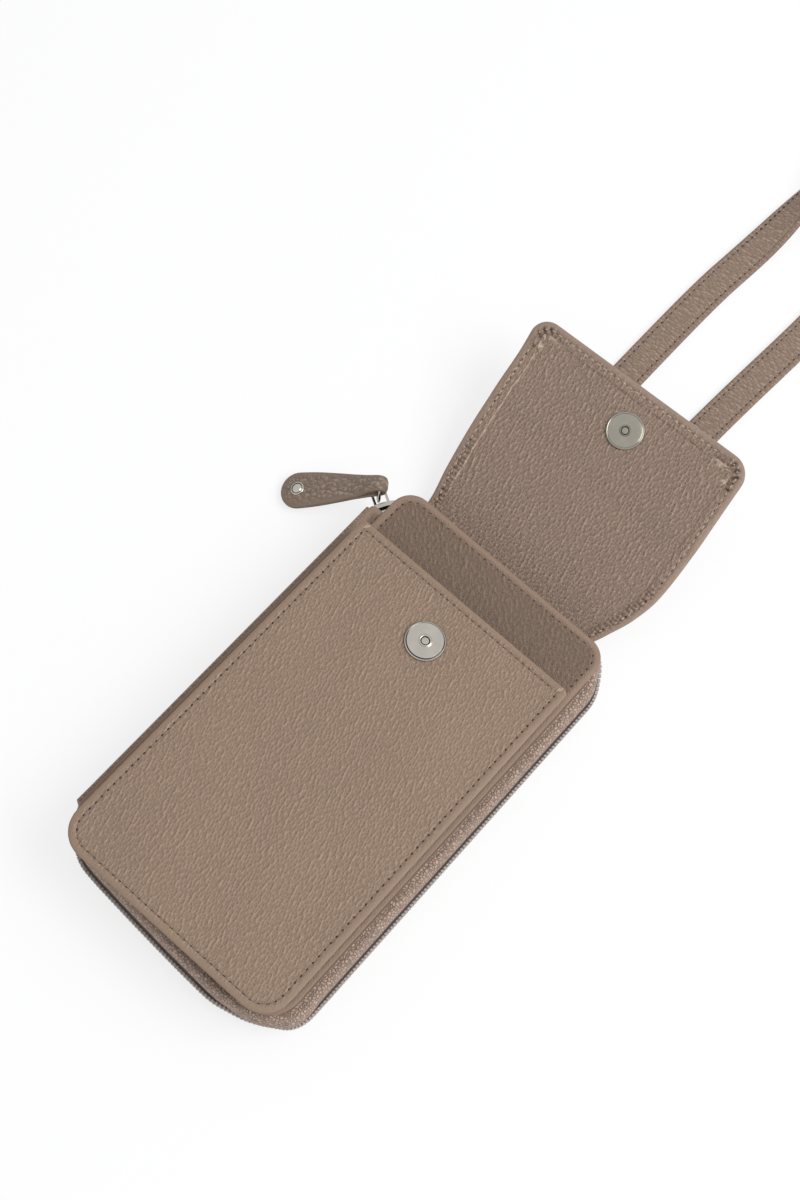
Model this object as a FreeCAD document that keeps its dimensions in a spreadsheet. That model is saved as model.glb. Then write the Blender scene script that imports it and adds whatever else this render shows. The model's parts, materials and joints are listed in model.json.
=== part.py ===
import FreeCAD
import Part
import math
import os

import Sketcher
from FreeCAD import Placement, Rotation, Vector

# A zip-around leather pouch that lies on its back: +X is its right side, +Y its top and +Z its front.
# The origin is at the middle of the rear face. All sizes are in millimetres and degrees.

SIZES = [
    ("case_width", 124.0, "case, spine to zip"),
    ("case_length", 208.0, "case, bottom zip to top zip"),
    ("case_depth", 25.0, "case, rear face to front cover face"),
    ("case_corner", 20.0, "corner radius of the zip line"),
    ("leather", 1.4, "cover and gusset leather"),
    ("lining", 1.0, "lining of the covers"),
    ("lining_inset", 5.0, "lining edge from cover edge"),
    ("gusset_swell", 2.0, "how far the gussets swell out from the cover edge"),
    ("gusset_fullness", 0.8, "share of that swell at half the gusset's height"),
    ("zip_level", 13.0, "height of the zip's middle"),
    ("zip_slit", 1.6, "gap between the two rows of teeth"),
    ("teeth_tall", 1.0, "row of teeth, across the zip"),
    ("teeth_thick", 2.4, "row of teeth, through the zip"),
    ("tape_tall", 2.0, "bare zip tape, across the zip"),
    ("tape_thick", 0.8, "zip tape"),
    ("seam_depth", 12.0, "depth of the top seam that holds strap and flap"),
    ("pocket_left", 5.0, "pocket front from the spine's outer face"),
    ("pocket_right", 9.0, "pocket front from the right zip"),
    ("pocket_bottom", 1.0, "pocket front from the bottom zip"),
    ("pocket_top", 28.0, "pocket's mouth from the top zip"),
    ("pocket_gap", 8.0, "clear depth inside the pocket"),
    ("pocket_corner", 13.0, "bottom corners of the pocket"),
    ("pocket_wall_inset", 3.0, "pocket wall from the pocket front's edge"),
    ("pocket_lining", 0.8, "lining of the pocket front"),
    ("back_left", 6.5, "pocket back from the spine's outer face"),
    ("back_right", 7.5, "pocket back from the right zip"),
    ("back_rise", 28.0, "pocket back above the pocket's mouth"),
    ("back_corner", 12.0, "corners of the pocket back"),
    ("snap_across", -3.5, "snap from the middle, along X"),
    ("snap_drop", 23.5, "snap below the pocket's mouth"),
    ("socket_diameter", 17.2, "snap half on the pocket"),
    ("socket_tall", 2.0, "snap half on the pocket"),
    ("stud_diameter", 16.4, "snap half on the flap"),
    ("stud_tall", 1.4, "snap half on the flap"),
    ("snap_rim", 1.8, "rim of the snaps"),
    ("snap_bevel", 0.6, "bevel of that rim"),
    ("snap_lift", 0.5, "middle of the snaps above the rim"),
    ("snap_slope", 0.5, "run of the slope between them"),
    ("snap_eye", 1.7, "radius of the hollow in the snaps' middle"),
    ("snap_eye_deep", 0.4, "depth of that hollow"),
    ("washer_diameter", 14.0, "snap washers"),
    ("washer_thick", 0.6, "snap washers"),
    ("flap_across", -3.0, "flap from the middle, along X"),
    ("flap_thick", 2.6, "folded flap leather"),
    ("flap_root_width", 92.0, "flap at its seam"),
    ("flap_neck_width", 103.0, "flap at the end of the neck"),
    ("flap_width", 110.0, "flap"),
    ("flap_neck", 26.6, "flap, seam fold to shoulder fold"),
    ("flap_bridge", 32.6, "flap, shoulder fold to mouth fold"),
    ("flap_tip", 17.5, "flap, snap to far edge"),
    ("flap_corner", 10.0, "far corners of the flap"),
    ("flap_tilt", 20.0, "rise of the open flap"),
    ("flap_out", 2.2, "seam fold from the top zip"),
    ("facing_thick", 0.6, "facing inside the flap"),
    ("facing_inset", 6.5, "facing from the flap's edge"),
    ("fold_clearance", 0.3, "between two leaves at a fold"),
    ("fold_flat", 0.03, "flat left between the two rounds of a rolled edge"),
    ("strap_width", 15.0, "strap"),
    ("strap_thick", 2.8, "folded strap leather"),
    ("strap_left_across", -24.5, "left strap end from the middle, along X"),
    ("strap_right_across", 15.5, "right strap end from the middle, along X"),
    ("strap_loop_radius", 85.0, "strap loop, put away on its edge"),
    ("slider_angle", 150.0, "slider on the corner, from +X"),
    ("slider_turn", 32.0, "slider, along the corner"),
    ("slider_half", 3.4, "slider, half of its height"),
    ("slider_plate", 1.1, "slider plates"),
    ("slider_lip", 0.7, "turned edges of the slider plates"),
    ("slider_clearance", 0.4, "slider from teeth and tapes"),
    ("core_clearance", 0.3, "slider's core from the teeth"),
    ("bail_wire", 1.0, "slider's bail"),
    ("bail_half", 3.4, "slider's bail, half of its length"),
    ("ring_radius", 5.0, "pull ring, middle of its wire"),
    ("ring_wire", 0.65, "pull ring, radius of its wire"),
    ("link_clearance", 0.3, "ring from bail"),
    ("pull_length", 45.0, "pull, loop to far end"),
    ("pull_shoulder", 31.5, "pull, loop to its full width"),
    ("pull_wide", 14.0, "pull at its far end"),
    ("pull_narrow", 5.0, "pull at its loop"),
    ("pull_layer", 1.5, "each layer of the folded pull"),
    ("pull_loop", 1.6, "radius of the hole in the pull's loop"),
    ("pull_slack", 0.52, "ring's wire from the top of that hole"),
    ("pull_corner", 4.0, "corners of the pull"),
    ("pull_tilt", 25.0, "fall of the pull towards its far end"),
    ("pull_heading", 221.7, "direction of the pull, from +X"),
    ("rivet_diameter", 6.0, "rivet head"),
    ("rivet_tall", 1.0, "rivet head"),
    ("rivet_lip", 0.3, "edge of the rivet head"),
    ("rivet_crown", 1.5, "radius of the flat middle of the rivet head"),
    ("rivet_shank", 2.4, "rivet shank diameter"),
    ("rivet_inset", 8.0, "rivet from the pull's far end"),
]

doc = FreeCAD.newDocument("phone_pouch")
sheet = doc.addObject("Spreadsheet::Sheet", "Sizes")
for row, (alias, value, note) in enumerate(SIZES, start=1):
    sheet.set(f"A{row}", note)
    sheet.set(f"B{row}", str(value))
    sheet.setAlias(f"B{row}", alias)
doc.recompute()
NAMES = {alias for alias, value, note in SIZES}
PARTS = []


def formula(text):
    """An expression on the sheet: each size's name becomes a reference to its cell."""
    words = text.replace("(", "( ").replace(")", " )").split()
    return " ".join(f"Sizes.{word}" if word in NAMES else word for word in words)


def size(text):
    """The number that an expression on the sheet comes to."""
    return float(sheet.evalExpression(formula(text)))


def bind(thing, prop, text):
    """Tie a property to an expression on the sheet."""
    thing.setExpression(prop, formula(text))


def place(thing, x, y, z):
    """Tie an object's position to the sheet."""
    for axis, text in zip("xyz", (x, y, z)):
        bind(thing, f"Placement.Base.{axis}", text)


def turn(thing, rotation):
    """Set an object's rotation and keep its position."""
    thing.Placement = Placement(thing.Placement.Base, rotation)


def keep(thing, label):
    """Name an object as one of the sub-parts that are written out."""
    thing.Label = label
    PARTS.append(thing)
    return thing


def origin_feature(body, role):
    """One of a body's own origin planes or axes."""
    return next(f for f in body.Origin.OriginFeatures if f.Role == role)


def outline(body, name, role, corners):
    """A closed sketch of straight sides, each corner tied to the sheet in x and y."""
    sketch = body.newObject("Sketcher::SketchObject", name)
    sketch.AttachmentSupport = [(origin_feature(body, role), "")]
    sketch.MapMode = "FlatFace"
    points = [Vector(size(x), size(y), 0) for x, y in corners]
    count = len(points)
    for i in range(count):
        sketch.addGeometry(Part.LineSegment(points[i], points[(i + 1) % count]), False)
    for i in range(count):
        sketch.addConstraint(Sketcher.Constraint("Coincident", i, 2, (i + 1) % count, 1))
    for i, (x, y) in enumerate(corners):
        for kind, text, value in (("DistanceX", x, points[i].x), ("DistanceY", y, points[i].y)):
            index = sketch.addConstraint(Sketcher.Constraint(kind, -1, 1, i, 1, value))
            label = f"{kind}_{i}"
            sketch.renameConstraint(index, label)
            bind(sketch, f"Constraints.{label}", text)
    return sketch


def edges_where(shape, test):
    """Names of the edges whose middle and direction pass a test."""
    found = []
    for number, edge in enumerate(shape.Edges, start=1):
        ends = [v.Point for v in edge.Vertexes]
        if len(ends) == 2 and test(edge.CenterOfMass, ends[1] - ends[0]):
            found.append(f"Edge{number}")
    return found


def round_edges(body, base, name, edges, radius):
    """Fillet some edges of a body's last feature."""
    fillet = body.newObject("PartDesign::Fillet", name)
    fillet.Base = (base, edges)
    bind(fillet, "Radius", radius)
    doc.recompute()
    return fillet


def upright(direction):
    return abs(direction.x) + abs(direction.y) < 1e-6


def sheet_piece(name, corners, thickness, low=None, high=None):
    """A flat sewn piece padded up from its outline, with its low or high corners in Y rounded."""
    body = doc.addObject("PartDesign::Body", name)
    pad = body.newObject("PartDesign::Pad", name + "_pad")
    pad.Profile = outline(body, name + "_outline", "XY_Plane", corners)
    bind(pad, "Length", thickness)
    doc.recompute()
    bounds = pad.Shape.BoundBox
    last = pad
    for end, radius in ((bounds.YMin, low), (bounds.YMax, high)):
        if radius:
            edges = edges_where(last.Shape, lambda at, way: upright(way) and abs(at.y - end) < 1e-3)
            last = round_edges(body, last, f"{name}_round_{len(body.Group)}", edges, radius)
    return body


def rectangle(left, right, bottom, top):
    return [(left, bottom), (right, bottom), (right, top), (left, top)]


def cylinder(name, radius, height):
    piece = doc.addObject("Part::Cylinder", name)
    bind(piece, "Radius", radius)
    bind(piece, "Height", height)
    return piece


def box(name, length, width, height):
    piece = doc.addObject("Part::Box", name)
    bind(piece, "Length", length)
    bind(piece, "Width", width)
    bind(piece, "Height", height)
    return piece


def fuse(name, pieces):
    joined = doc.addObject("Part::MultiFuse", name)
    joined.Shapes = pieces
    return joined


def cut(name, base, tool):
    piece = doc.addObject("Part::Cut", name)
    piece.Base = base
    piece.Tool = tool
    return piece


def feature(name, shape):
    piece = doc.addObject("Part::Feature", name)
    piece.Shape = shape
    return piece


# Case: rear cover, spine and front cover round a zip

LEFT = "- case_width / 2"
RIGHT = "case_width / 2"
TOP = "case_length / 2"
BOTTOM = "- case_length / 2"
COVER_CORNER = "case_corner - gusset_swell"
COVER = rectangle(
    f"{LEFT} + leather", f"{RIGHT} - gusset_swell", f"{BOTTOM} + gusset_swell", f"{TOP} - gusset_swell"
)
STRAIGHT = "case_length / 2 - case_corner"


def rear_cover():
    keep(sheet_piece("RearCover", COVER, "leather", COVER_CORNER, COVER_CORNER), "rear_cover")


def spine():
    """The leather strip that joins the covers on the left, up to just under the front cover's fold."""
    strip = box("Spine", "leather", f"2 * ( {STRAIGHT} )", "case_depth - leather - fold_clearance")
    place(strip, LEFT, f"- ( {STRAIGHT} )", "0")
    keep(strip, "spine")


def front_cover():
    """The cover that opens: its left edge is rolled round the fold line above the spine."""
    sheet_body = sheet_piece("FrontSheet", COVER, "leather", COVER_CORNER, COVER_CORNER)
    place(sheet_body, "0", "0", "case_depth - leather")
    roll = cylinder("FrontRoll", "leather / 2", f"2 * ( {STRAIGHT} )")
    turn(roll, Rotation(Vector(1, 0, 0), -90))
    place(roll, f"{LEFT} + leather", f"- ( {STRAIGHT} )", "case_depth - leather / 2")
    keep(fuse("FrontCover", [sheet_body, roll]), "front_cover")


def linings():
    """The two linings; the rear one stops short of the top seam."""
    left = f"{LEFT} + leather + lining_inset"
    right = f"{RIGHT} - gusset_swell - lining_inset"
    bottom = f"{BOTTOM} + gusset_swell + lining_inset"
    top = f"{TOP} - gusset_swell - lining_inset"
    below_seam = f"{TOP} - gusset_swell - seam_depth - fold_clearance"
    corner = "case_corner - gusset_swell - lining_inset"
    rear = sheet_piece("RearLining", rectangle(left, right, bottom, below_seam), "lining", corner)
    place(rear, "0", "0", "leather")
    keep(rear, "rear_lining")
    front = sheet_piece("FrontLining", rectangle(left, right, bottom, top), "lining", corner, corner)
    place(front, "0", "0", "case_depth - leather - lining")
    keep(front, "front_lining")


def zip_path(start):
    """The zip line from a start angle on the top left corner, clockwise to the spine's lower end."""
    radius = size("case_corner")
    across, along = size("case_width") / 2 - radius, size("case_length") / 2 - radius
    centres = [Vector(-across, along), Vector(across, along), Vector(across, -along), Vector(-across, -along)]
    angles = [start, 90, 0, -90, -180]
    edges = []
    for centre, first, last in zip(centres, angles, angles[1:]):
        points = [
            centre + Vector(math.cos(math.radians(a)), math.sin(math.radians(a))) * radius
            for a in (first, (first + last) / 2, last)
        ]
        if edges:
            edges.append(Part.LineSegment(edges[-1].valueAt(edges[-1].LastParameter), points[0]).toShape())
        edges.append(Part.Arc(*points).toShape())
    return Part.Wire(edges), centres[0]


def swept(name, start, section):
    """A band along the zip line; its section is in distance outwards and height, with bowed long sides."""
    path, centre = zip_path(start)
    angle = math.radians(start)
    out = Vector(math.cos(angle), math.sin(angle))
    foot = centre + out * size("case_corner")

    def at(point):
        return foot + out * point[0] + Vector(0, 0, point[1])

    sides = []
    for first, bow, last in section:
        if bow:
            sides.append(Part.Arc(at(first), at(bow), at(last)).toShape())
        else:
            sides.append(Part.LineSegment(at(first), at(last)).toShape())
    shell = Part.BRepOffsetAPI.MakePipeShell(path)
    shell.add(Part.Wire(sides))
    shell.setTransitionMode(0)
    shell.build()
    shell.makeSolid()
    return feature(name, shell.shape())


def straight_section(near, far, low, high):
    corners = [(near, low), (far, low), (far, high), (near, high)]
    return [(corners[i], None, corners[(i + 1) % 4]) for i in range(4)]


def bowed_section(foot, head, low, high, thick):
    """A gusset's section: it leaves the cover at foot and swells out to head at the zip tape."""
    reach = head - foot
    bow_out = (foot + size("gusset_fullness") * reach, (low + high) / 2)
    bow_in = (bow_out[0] - thick, bow_out[1])
    a, b, c, d = (foot, low), (head, high), (head - thick, high), (foot - thick, low)
    return [(a, bow_out, b), (b, None, c), (c, bow_in, d), (d, None, a)]


def zip_rows():
    """Gussets, zip tapes and rows of teeth, the front ones short of the parked slider."""
    level, half_slit = size("zip_level"), size("zip_slit") / 2
    teeth, tape = size("teeth_tall"), size("tape_tall")
    tape_far = -(size("teeth_thick") - size("tape_thick")) / 2
    tape_near = tape_far - size("tape_thick")
    head = tape_far + (size("leather") - size("tape_thick")) / 2
    foot = -size("gusset_swell")
    end_gap = math.degrees(2 * size("fold_clearance / case_corner"))
    spine_end = 180 - end_gap
    clear_end = size("slider_angle - slider_turn / 2") - end_gap
    for side, start in ((-1, spine_end), (1, clear_end)):
        name = "rear" if side < 0 else "front"
        levels = [level + side * step for step in (
            half_slit, half_slit + teeth, half_slit + teeth + tape
        )]
        cover = size("leather") if side < 0 else size("case_depth - leather")
        row = straight_section(-size("teeth_thick"), 0, levels[0], levels[1])
        keep(swept(name + "Teeth", start, row), name + "_zip_teeth")
        band = straight_section(tape_near, tape_far, levels[1], levels[2])
        keep(swept(name + "Tape", start, band), name + "_zip_tape")
        wall = swept(name + "Wall", spine_end, bowed_section(foot, head, cover, levels[2], size("leather")))
        if side < 0:
            wall = cut("RearGusset", wall, seam_room())
        keep(wall, name + "_gusset")


# Top seam: strap ends, welt and flap root between the rear cover and the gusset

SEAM_FOOT = f"{TOP} - gusset_swell - seam_depth"
SEAM_TOP = "leather + strap_thick + flap_thick"
ROOT_LEFT = "flap_across - flap_root_width / 2"
ROOT_RIGHT = "flap_across + flap_root_width / 2"


def seam_room():
    """The space that the top seam takes out of the rear gusset."""
    room = box("SeamRoom", "flap_root_width + 2 * fold_clearance", "2 * seam_depth", SEAM_TOP)
    place(room, f"{ROOT_LEFT} - fold_clearance", SEAM_FOOT, "0")
    return room


def seam_welt():
    """The filler strip beside the strap ends, as thick as they are."""
    strip = box("WeltStrip", "flap_root_width", "seam_depth", "strap_thick")
    place(strip, ROOT_LEFT, SEAM_FOOT, "leather")
    for side in ("left", "right"):
        room = box(f"StrapRoom_{side}", "strap_width", "2 * seam_depth", "2 * strap_thick")
        place(room, f"strap_{side}_across - strap_width / 2", f"{SEAM_FOOT} - leather", "0")
        strip = cut(f"Welt_{side}", strip, room)
    keep(strip, "seam_welt")


# Flap: root, neck, bridge and panel, drawn flat in its own frame with the seam fold as the X axis

FLAP_ROUND = "flap_thick / 2 - fold_flat / 2"
FOLD_BACK = "flap_thick / 2 + fold_clearance"
HINGE_Y = f"{TOP} + flap_out"
HINGE_Z = "leather + strap_thick + flap_thick / 2"


def flap_leaf(name, start, end, near_width, far_width, corner=None):
    """One stiff length of the flap: rolled round a fold at its near edge, short of the next at its far."""
    corners = [
        (f"- {near_width} / 2", f"{start} - flap_thick / 2"),
        (f"{near_width} / 2", f"{start} - flap_thick / 2"),
        (f"{far_width} / 2", end),
        (f"- {far_width} / 2", end),
    ]
    body = doc.addObject("PartDesign::Body", name)
    pad = body.newObject("PartDesign::Pad", name + "_pad")
    pad.Profile = outline(body, name + "_outline", "XY_Plane", corners)
    pad.SideType = "Symmetric"
    bind(pad, "Length", "flap_thick")
    doc.recompute()
    near = pad.Shape.BoundBox.YMin
    last = pad
    if corner:
        far = pad.Shape.BoundBox.YMax
        ends = edges_where(pad.Shape, lambda at, way: upright(way) and at.y > far - 1e-3)
        last = round_edges(body, pad, name + "_corners", ends, corner)
    ends = edges_where(last.Shape, lambda at, way: abs(at.y - near) < 1e-3 and abs(way.z) < 1e-6)
    round_edges(body, last, name + "_roll", ends, FLAP_ROUND)
    return body


def flap_lengths():
    """Where the mouth fold's snap has to be for the closed flap to meet the socket."""
    stack = "socket_tall + fold_clearance + stud_tall + facing_thick + flap_thick / 2"
    rise = size(f"{POCKET_TOP} + {stack}") - size(f"{HINGE_Z} + flap_neck")
    run = math.sqrt(size("flap_bridge") ** 2 - rise**2)
    return size(HINGE_Y) - run - size(f"{POCKET_MOUTH} - snap_drop")


def flap():
    root_run = f"seam_depth + gusset_swell + flap_out - ( {FOLD_BACK} )"
    root = box("FlapRoot", "flap_root_width", root_run, "flap_thick")
    place(root, ROOT_LEFT, SEAM_FOOT, "leather + strap_thick")
    keep(root, "flap_root")
    shoulder, mouth = "flap_neck", "flap_neck + flap_bridge"
    neck = flap_leaf("FlapNeck", "0", f"{shoulder} - ( {FOLD_BACK} )", "flap_root_width", "flap_neck_width")
    bridge = flap_leaf("FlapBridge", shoulder, f"{mouth} - ( {FOLD_BACK} )", "flap_neck_width", "flap_width")
    reach = flap_lengths()
    far = f"{mouth} + {reach} + flap_tip"
    panel = flap_leaf("FlapSheet", mouth, far, "flap_width", "flap_width", "flap_corner")
    snap_x, snap_y = "snap_across - flap_across", f"{mouth} + {reach}"
    room = cylinder("FlapWasherRoom", "washer_diameter / 2", "flap_thick")
    place(room, snap_x, snap_y, "flap_thick / 2 - washer_thick")
    panel = cut("FlapPanel", panel, room)
    facing = sheet_piece(
        "FlapFacing",
        rectangle(
            "- flap_width / 2 + facing_inset", "flap_width / 2 - facing_inset",
            f"{mouth} + facing_inset / 2", f"{far} - facing_inset",
        ),
        "facing_thick",
        high="flap_corner - facing_inset / 2",
    )
    pieces = [(neck, "flap_neck"), (bridge, "flap_bridge"), (panel, "flap_panel"), (facing, "flap_facing")]
    stud = snap_disc("FlapSnap", "stud_diameter", "stud_tall")
    washer = cylinder("FlapWasher", "washer_diameter / 2", "washer_thick")
    pieces += [(stud, "flap_snap"), (washer, "flap_snap_washer")]
    hinge = Vector(size("flap_across"), size(HINGE_Y), size(HINGE_Z))
    frame = Placement(hinge, Rotation(Vector(1, 0, 0), size("flap_tilt")))
    for piece, label in pieces:
        local = Vector(0, 0, 0)
        if label == "flap_facing":
            local = Vector(0, 0, size("flap_thick / 2"))
        elif label == "flap_snap":
            local = Vector(size(snap_x), size(snap_y), size("flap_thick / 2 + facing_thick"))
        elif label == "flap_snap_washer":
            local = Vector(size(snap_x), size(snap_y), size("flap_thick / 2 - washer_thick"))
        piece.Placement = frame.multiply(Placement(local, Rotation()))
        keep(piece, label)


def turned_piece(name, profile):
    """A body turned a full circle about its own Z axis."""
    body = doc.addObject("PartDesign::Body", name)
    turned = body.newObject("PartDesign::Revolution", name + "_turned")
    turned.Profile = outline(body, name + "_profile", "XZ_Plane", profile)
    turned.ReferenceAxis = (origin_feature(body, "Z_Axis"), [""])
    turned.Angle = 360
    doc.recompute()
    return body


def snap_disc(name, diameter, tall):
    """A snap half: a bevelled rim round a raised middle with a small hollow."""
    edge, rim = f"{diameter} / 2", f"{tall} - snap_lift"
    return turned_piece(name, [
        ("0", "0"), (edge, "0"), (edge, f"{rim} - snap_bevel"), (f"{edge} - snap_bevel", rim),
        (f"{edge} - snap_rim", rim), (f"{edge} - snap_rim - snap_slope", tall), ("snap_eye", tall),
        ("snap_eye", f"{tall} - snap_eye_deep"), ("0", f"{tall} - snap_eye_deep"),
    ])


# Pocket on the front cover

POCKET_LEFT = f"{LEFT} + pocket_left"
POCKET_RIGHT = f"{RIGHT} - pocket_right"
POCKET_FOOT = f"{BOTTOM} + pocket_bottom"
POCKET_MOUTH = f"{TOP} - pocket_top"
WALL_LOW = "case_depth + leather"
WALL_TALL = "pocket_gap + pocket_lining"
POCKET_TOP = f"{WALL_LOW} + {WALL_TALL} + leather"


def pocket():
    back_foot = f"{POCKET_FOOT} + gusset_swell"
    back_top = f"{POCKET_MOUTH} + back_rise"
    back_outline = rectangle(f"{LEFT} + back_left", f"{RIGHT} - back_right", back_foot, back_top)
    back = sheet_piece("PocketBack", back_outline, "leather", "back_corner", "back_corner")
    place(back, "0", "0", "case_depth")
    keep(back, "pocket_back")

    def inside(step):
        return rectangle(
            f"{POCKET_LEFT} + {step}", f"{POCKET_RIGHT} - {step}", f"{POCKET_FOOT} + {step}", POCKET_MOUTH
        )

    wall_out = sheet_piece(
        "WallOut", inside("pocket_wall_inset"), WALL_TALL, "pocket_corner - pocket_wall_inset"
    )
    hollow = inside("( pocket_wall_inset + leather )")
    hollow[2:] = [(x, f"{POCKET_MOUTH} + leather") for x, y in hollow[2:]]
    wall_in = sheet_piece("WallIn", hollow, WALL_TALL, "pocket_corner - pocket_wall_inset - leather")
    for wall in (wall_out, wall_in):
        place(wall, "0", "0", WALL_LOW)
    keep(cut("PocketWall", wall_out, wall_in), "pocket_wall")

    front = sheet_piece(
        "PocketFront", rectangle(POCKET_LEFT, POCKET_RIGHT, POCKET_FOOT, POCKET_MOUTH),
        "leather", "pocket_corner",
    )
    place(front, "0", "0", f"{WALL_LOW} + {WALL_TALL}")
    keep(front, "pocket_front")

    snap_y = f"{POCKET_MOUTH} - snap_drop"
    lining_corner = "pocket_corner - pocket_wall_inset - leather - fold_clearance"
    lining_outline = inside("( pocket_wall_inset + leather + fold_clearance )")
    lining_sheet = sheet_piece("PocketLiningSheet", lining_outline, "pocket_lining", lining_corner)
    place(lining_sheet, "0", "0", f"{WALL_LOW} + pocket_gap")
    room = cylinder("PocketWasherRoom", "washer_diameter / 2", "2 * leather")
    place(room, "snap_across", snap_y, f"{WALL_LOW} + {WALL_TALL} - washer_thick")
    keep(cut("PocketLining", lining_sheet, room), "pocket_lining")
    washer = cylinder("PocketWasher", "washer_diameter / 2", "washer_thick")
    place(washer, "snap_across", snap_y, f"{WALL_LOW} + {WALL_TALL} - washer_thick")
    keep(washer, "pocket_snap_washer")
    socket = snap_disc("PocketSnap", "socket_diameter", "socket_tall")
    place(socket, "snap_across", snap_y, POCKET_TOP)
    keep(socket, "pocket_snap")


# Zip slider with its bail, ring and leather pull

CORNER_X = f"{LEFT} + case_corner"
CORNER_Y = f"{TOP} - case_corner"
PLATE_OUT = "case_corner + slider_clearance"
PLATE_FACE = f"{PLATE_OUT} + slider_plate"
PLATE_IN = "case_corner - teeth_thick - slider_clearance"
FLANGE_OUT = "case_corner - teeth_thick / 2 + tape_thick / 2 + slider_clearance"
FLANGE_IN = "case_corner - teeth_thick / 2 - tape_thick / 2 - slider_clearance"
RING_SIDE = "ring_radius + ring_wire + link_clearance"
BAIL_AT = f"{PLATE_FACE} + {RING_SIDE}"
HALF_DIAGONAL = math.sqrt(0.5)
RING_UP = f"ring_radius - ring_wire - {HALF_DIAGONAL} * bail_wire - link_clearance"


def slider_body():
    """Two plates with turned edges and the core that parts the teeth, turned round the case's corner."""
    core = "zip_slit / 2 - core_clearance"
    edge = "slider_half - slider_lip"
    half = [
        (FLANGE_IN, edge), (PLATE_IN, edge), (PLATE_IN, core), (PLATE_OUT, core),
        (PLATE_OUT, edge), (FLANGE_OUT, edge), (FLANGE_OUT, "slider_half"), (PLATE_FACE, "slider_half"),
    ]
    back = f"{PLATE_IN} - slider_plate"
    upper = [(back, "slider_half"), (FLANGE_IN, "slider_half")] + half
    profile = upper + [(x, f"- ( {y} )") for x, y in reversed(upper)]
    body = doc.addObject("PartDesign::Body", "SliderBody")
    turned = body.newObject("PartDesign::Revolution", "SliderBody_turned")
    turned.Profile = outline(body, "SliderBody_profile", "XZ_Plane", profile)
    turned.ReferenceAxis = (origin_feature(body, "Z_Axis"), [""])
    bind(turned, "Angle", "slider_turn")
    turned.Midplane = True
    doc.recompute()
    return body


def zip_slider():
    """The slider body and the bail that stands out from its outer plate."""
    body = slider_body()
    bar = box("BailBar", "bail_wire", "2 * bail_half", "bail_wire")
    place(bar, f"{BAIL_AT} - bail_wire / 2", "- bail_half", "- bail_wire / 2")
    legs = []
    for name, start in (("low", "- bail_half"), ("high", "bail_half - bail_wire")):
        leg = box(f"BailLeg_{name}", f"{RING_SIDE} + bail_wire", "bail_wire", "bail_wire")
        place(leg, f"{PLATE_FACE} - bail_wire", start, "- bail_wire / 2")
        legs.append(leg)
    slider = fuse("ZipSlider", [body, bar] + legs)
    turn(slider, Rotation(Vector(0, 0, 1), size("slider_angle")))
    place(slider, CORNER_X, CORNER_Y, "zip_level")
    keep(slider, "zip_slider")


def bail_point(up):
    """A point over the middle of the bail's bar."""
    angle = math.radians(size("slider_angle"))
    corner = Vector(size(CORNER_X), size(CORNER_Y), size("zip_level") + up)
    return corner + Vector(math.cos(angle), math.sin(angle)) * size(BAIL_AT)


def pull_ring():
    """The wire ring, standing on edge round the bail's bar and square to the pull."""
    slant = f"{HALF_DIAGONAL} * ring_wire"
    upper = [("ring_wire", "0"), (slant, slant), ("0", "ring_wire"), (f"- {slant}", slant)]
    lower = [(f"- ( {x} )", f"- ( {y} )") for x, y in upper]
    ring = turned_piece("PullRing", [(f"ring_radius + {x}", y) for x, y in upper + lower])
    heading = Rotation(Vector(0, 0, 1), size("pull_heading"))
    ring.Placement = Placement(bail_point(size(RING_UP)), heading.multiply(Rotation(Vector(0, 1, 0), 90)))
    keep(ring, "pull_ring")


def pull_frame():
    """The pull's frame: X across it, Y along it from the middle of its loop, Z out of its face."""
    dip = size("pull_loop - ring_wire - pull_slack")
    heading = Rotation(Vector(0, 0, 1), size("pull_heading - 90"))
    fall = Rotation(Vector(1, 0, 0), -size("pull_tilt"))
    return Placement(bail_point(size(f"{RING_UP} + ring_radius") - dip), heading.multiply(fall))


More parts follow.
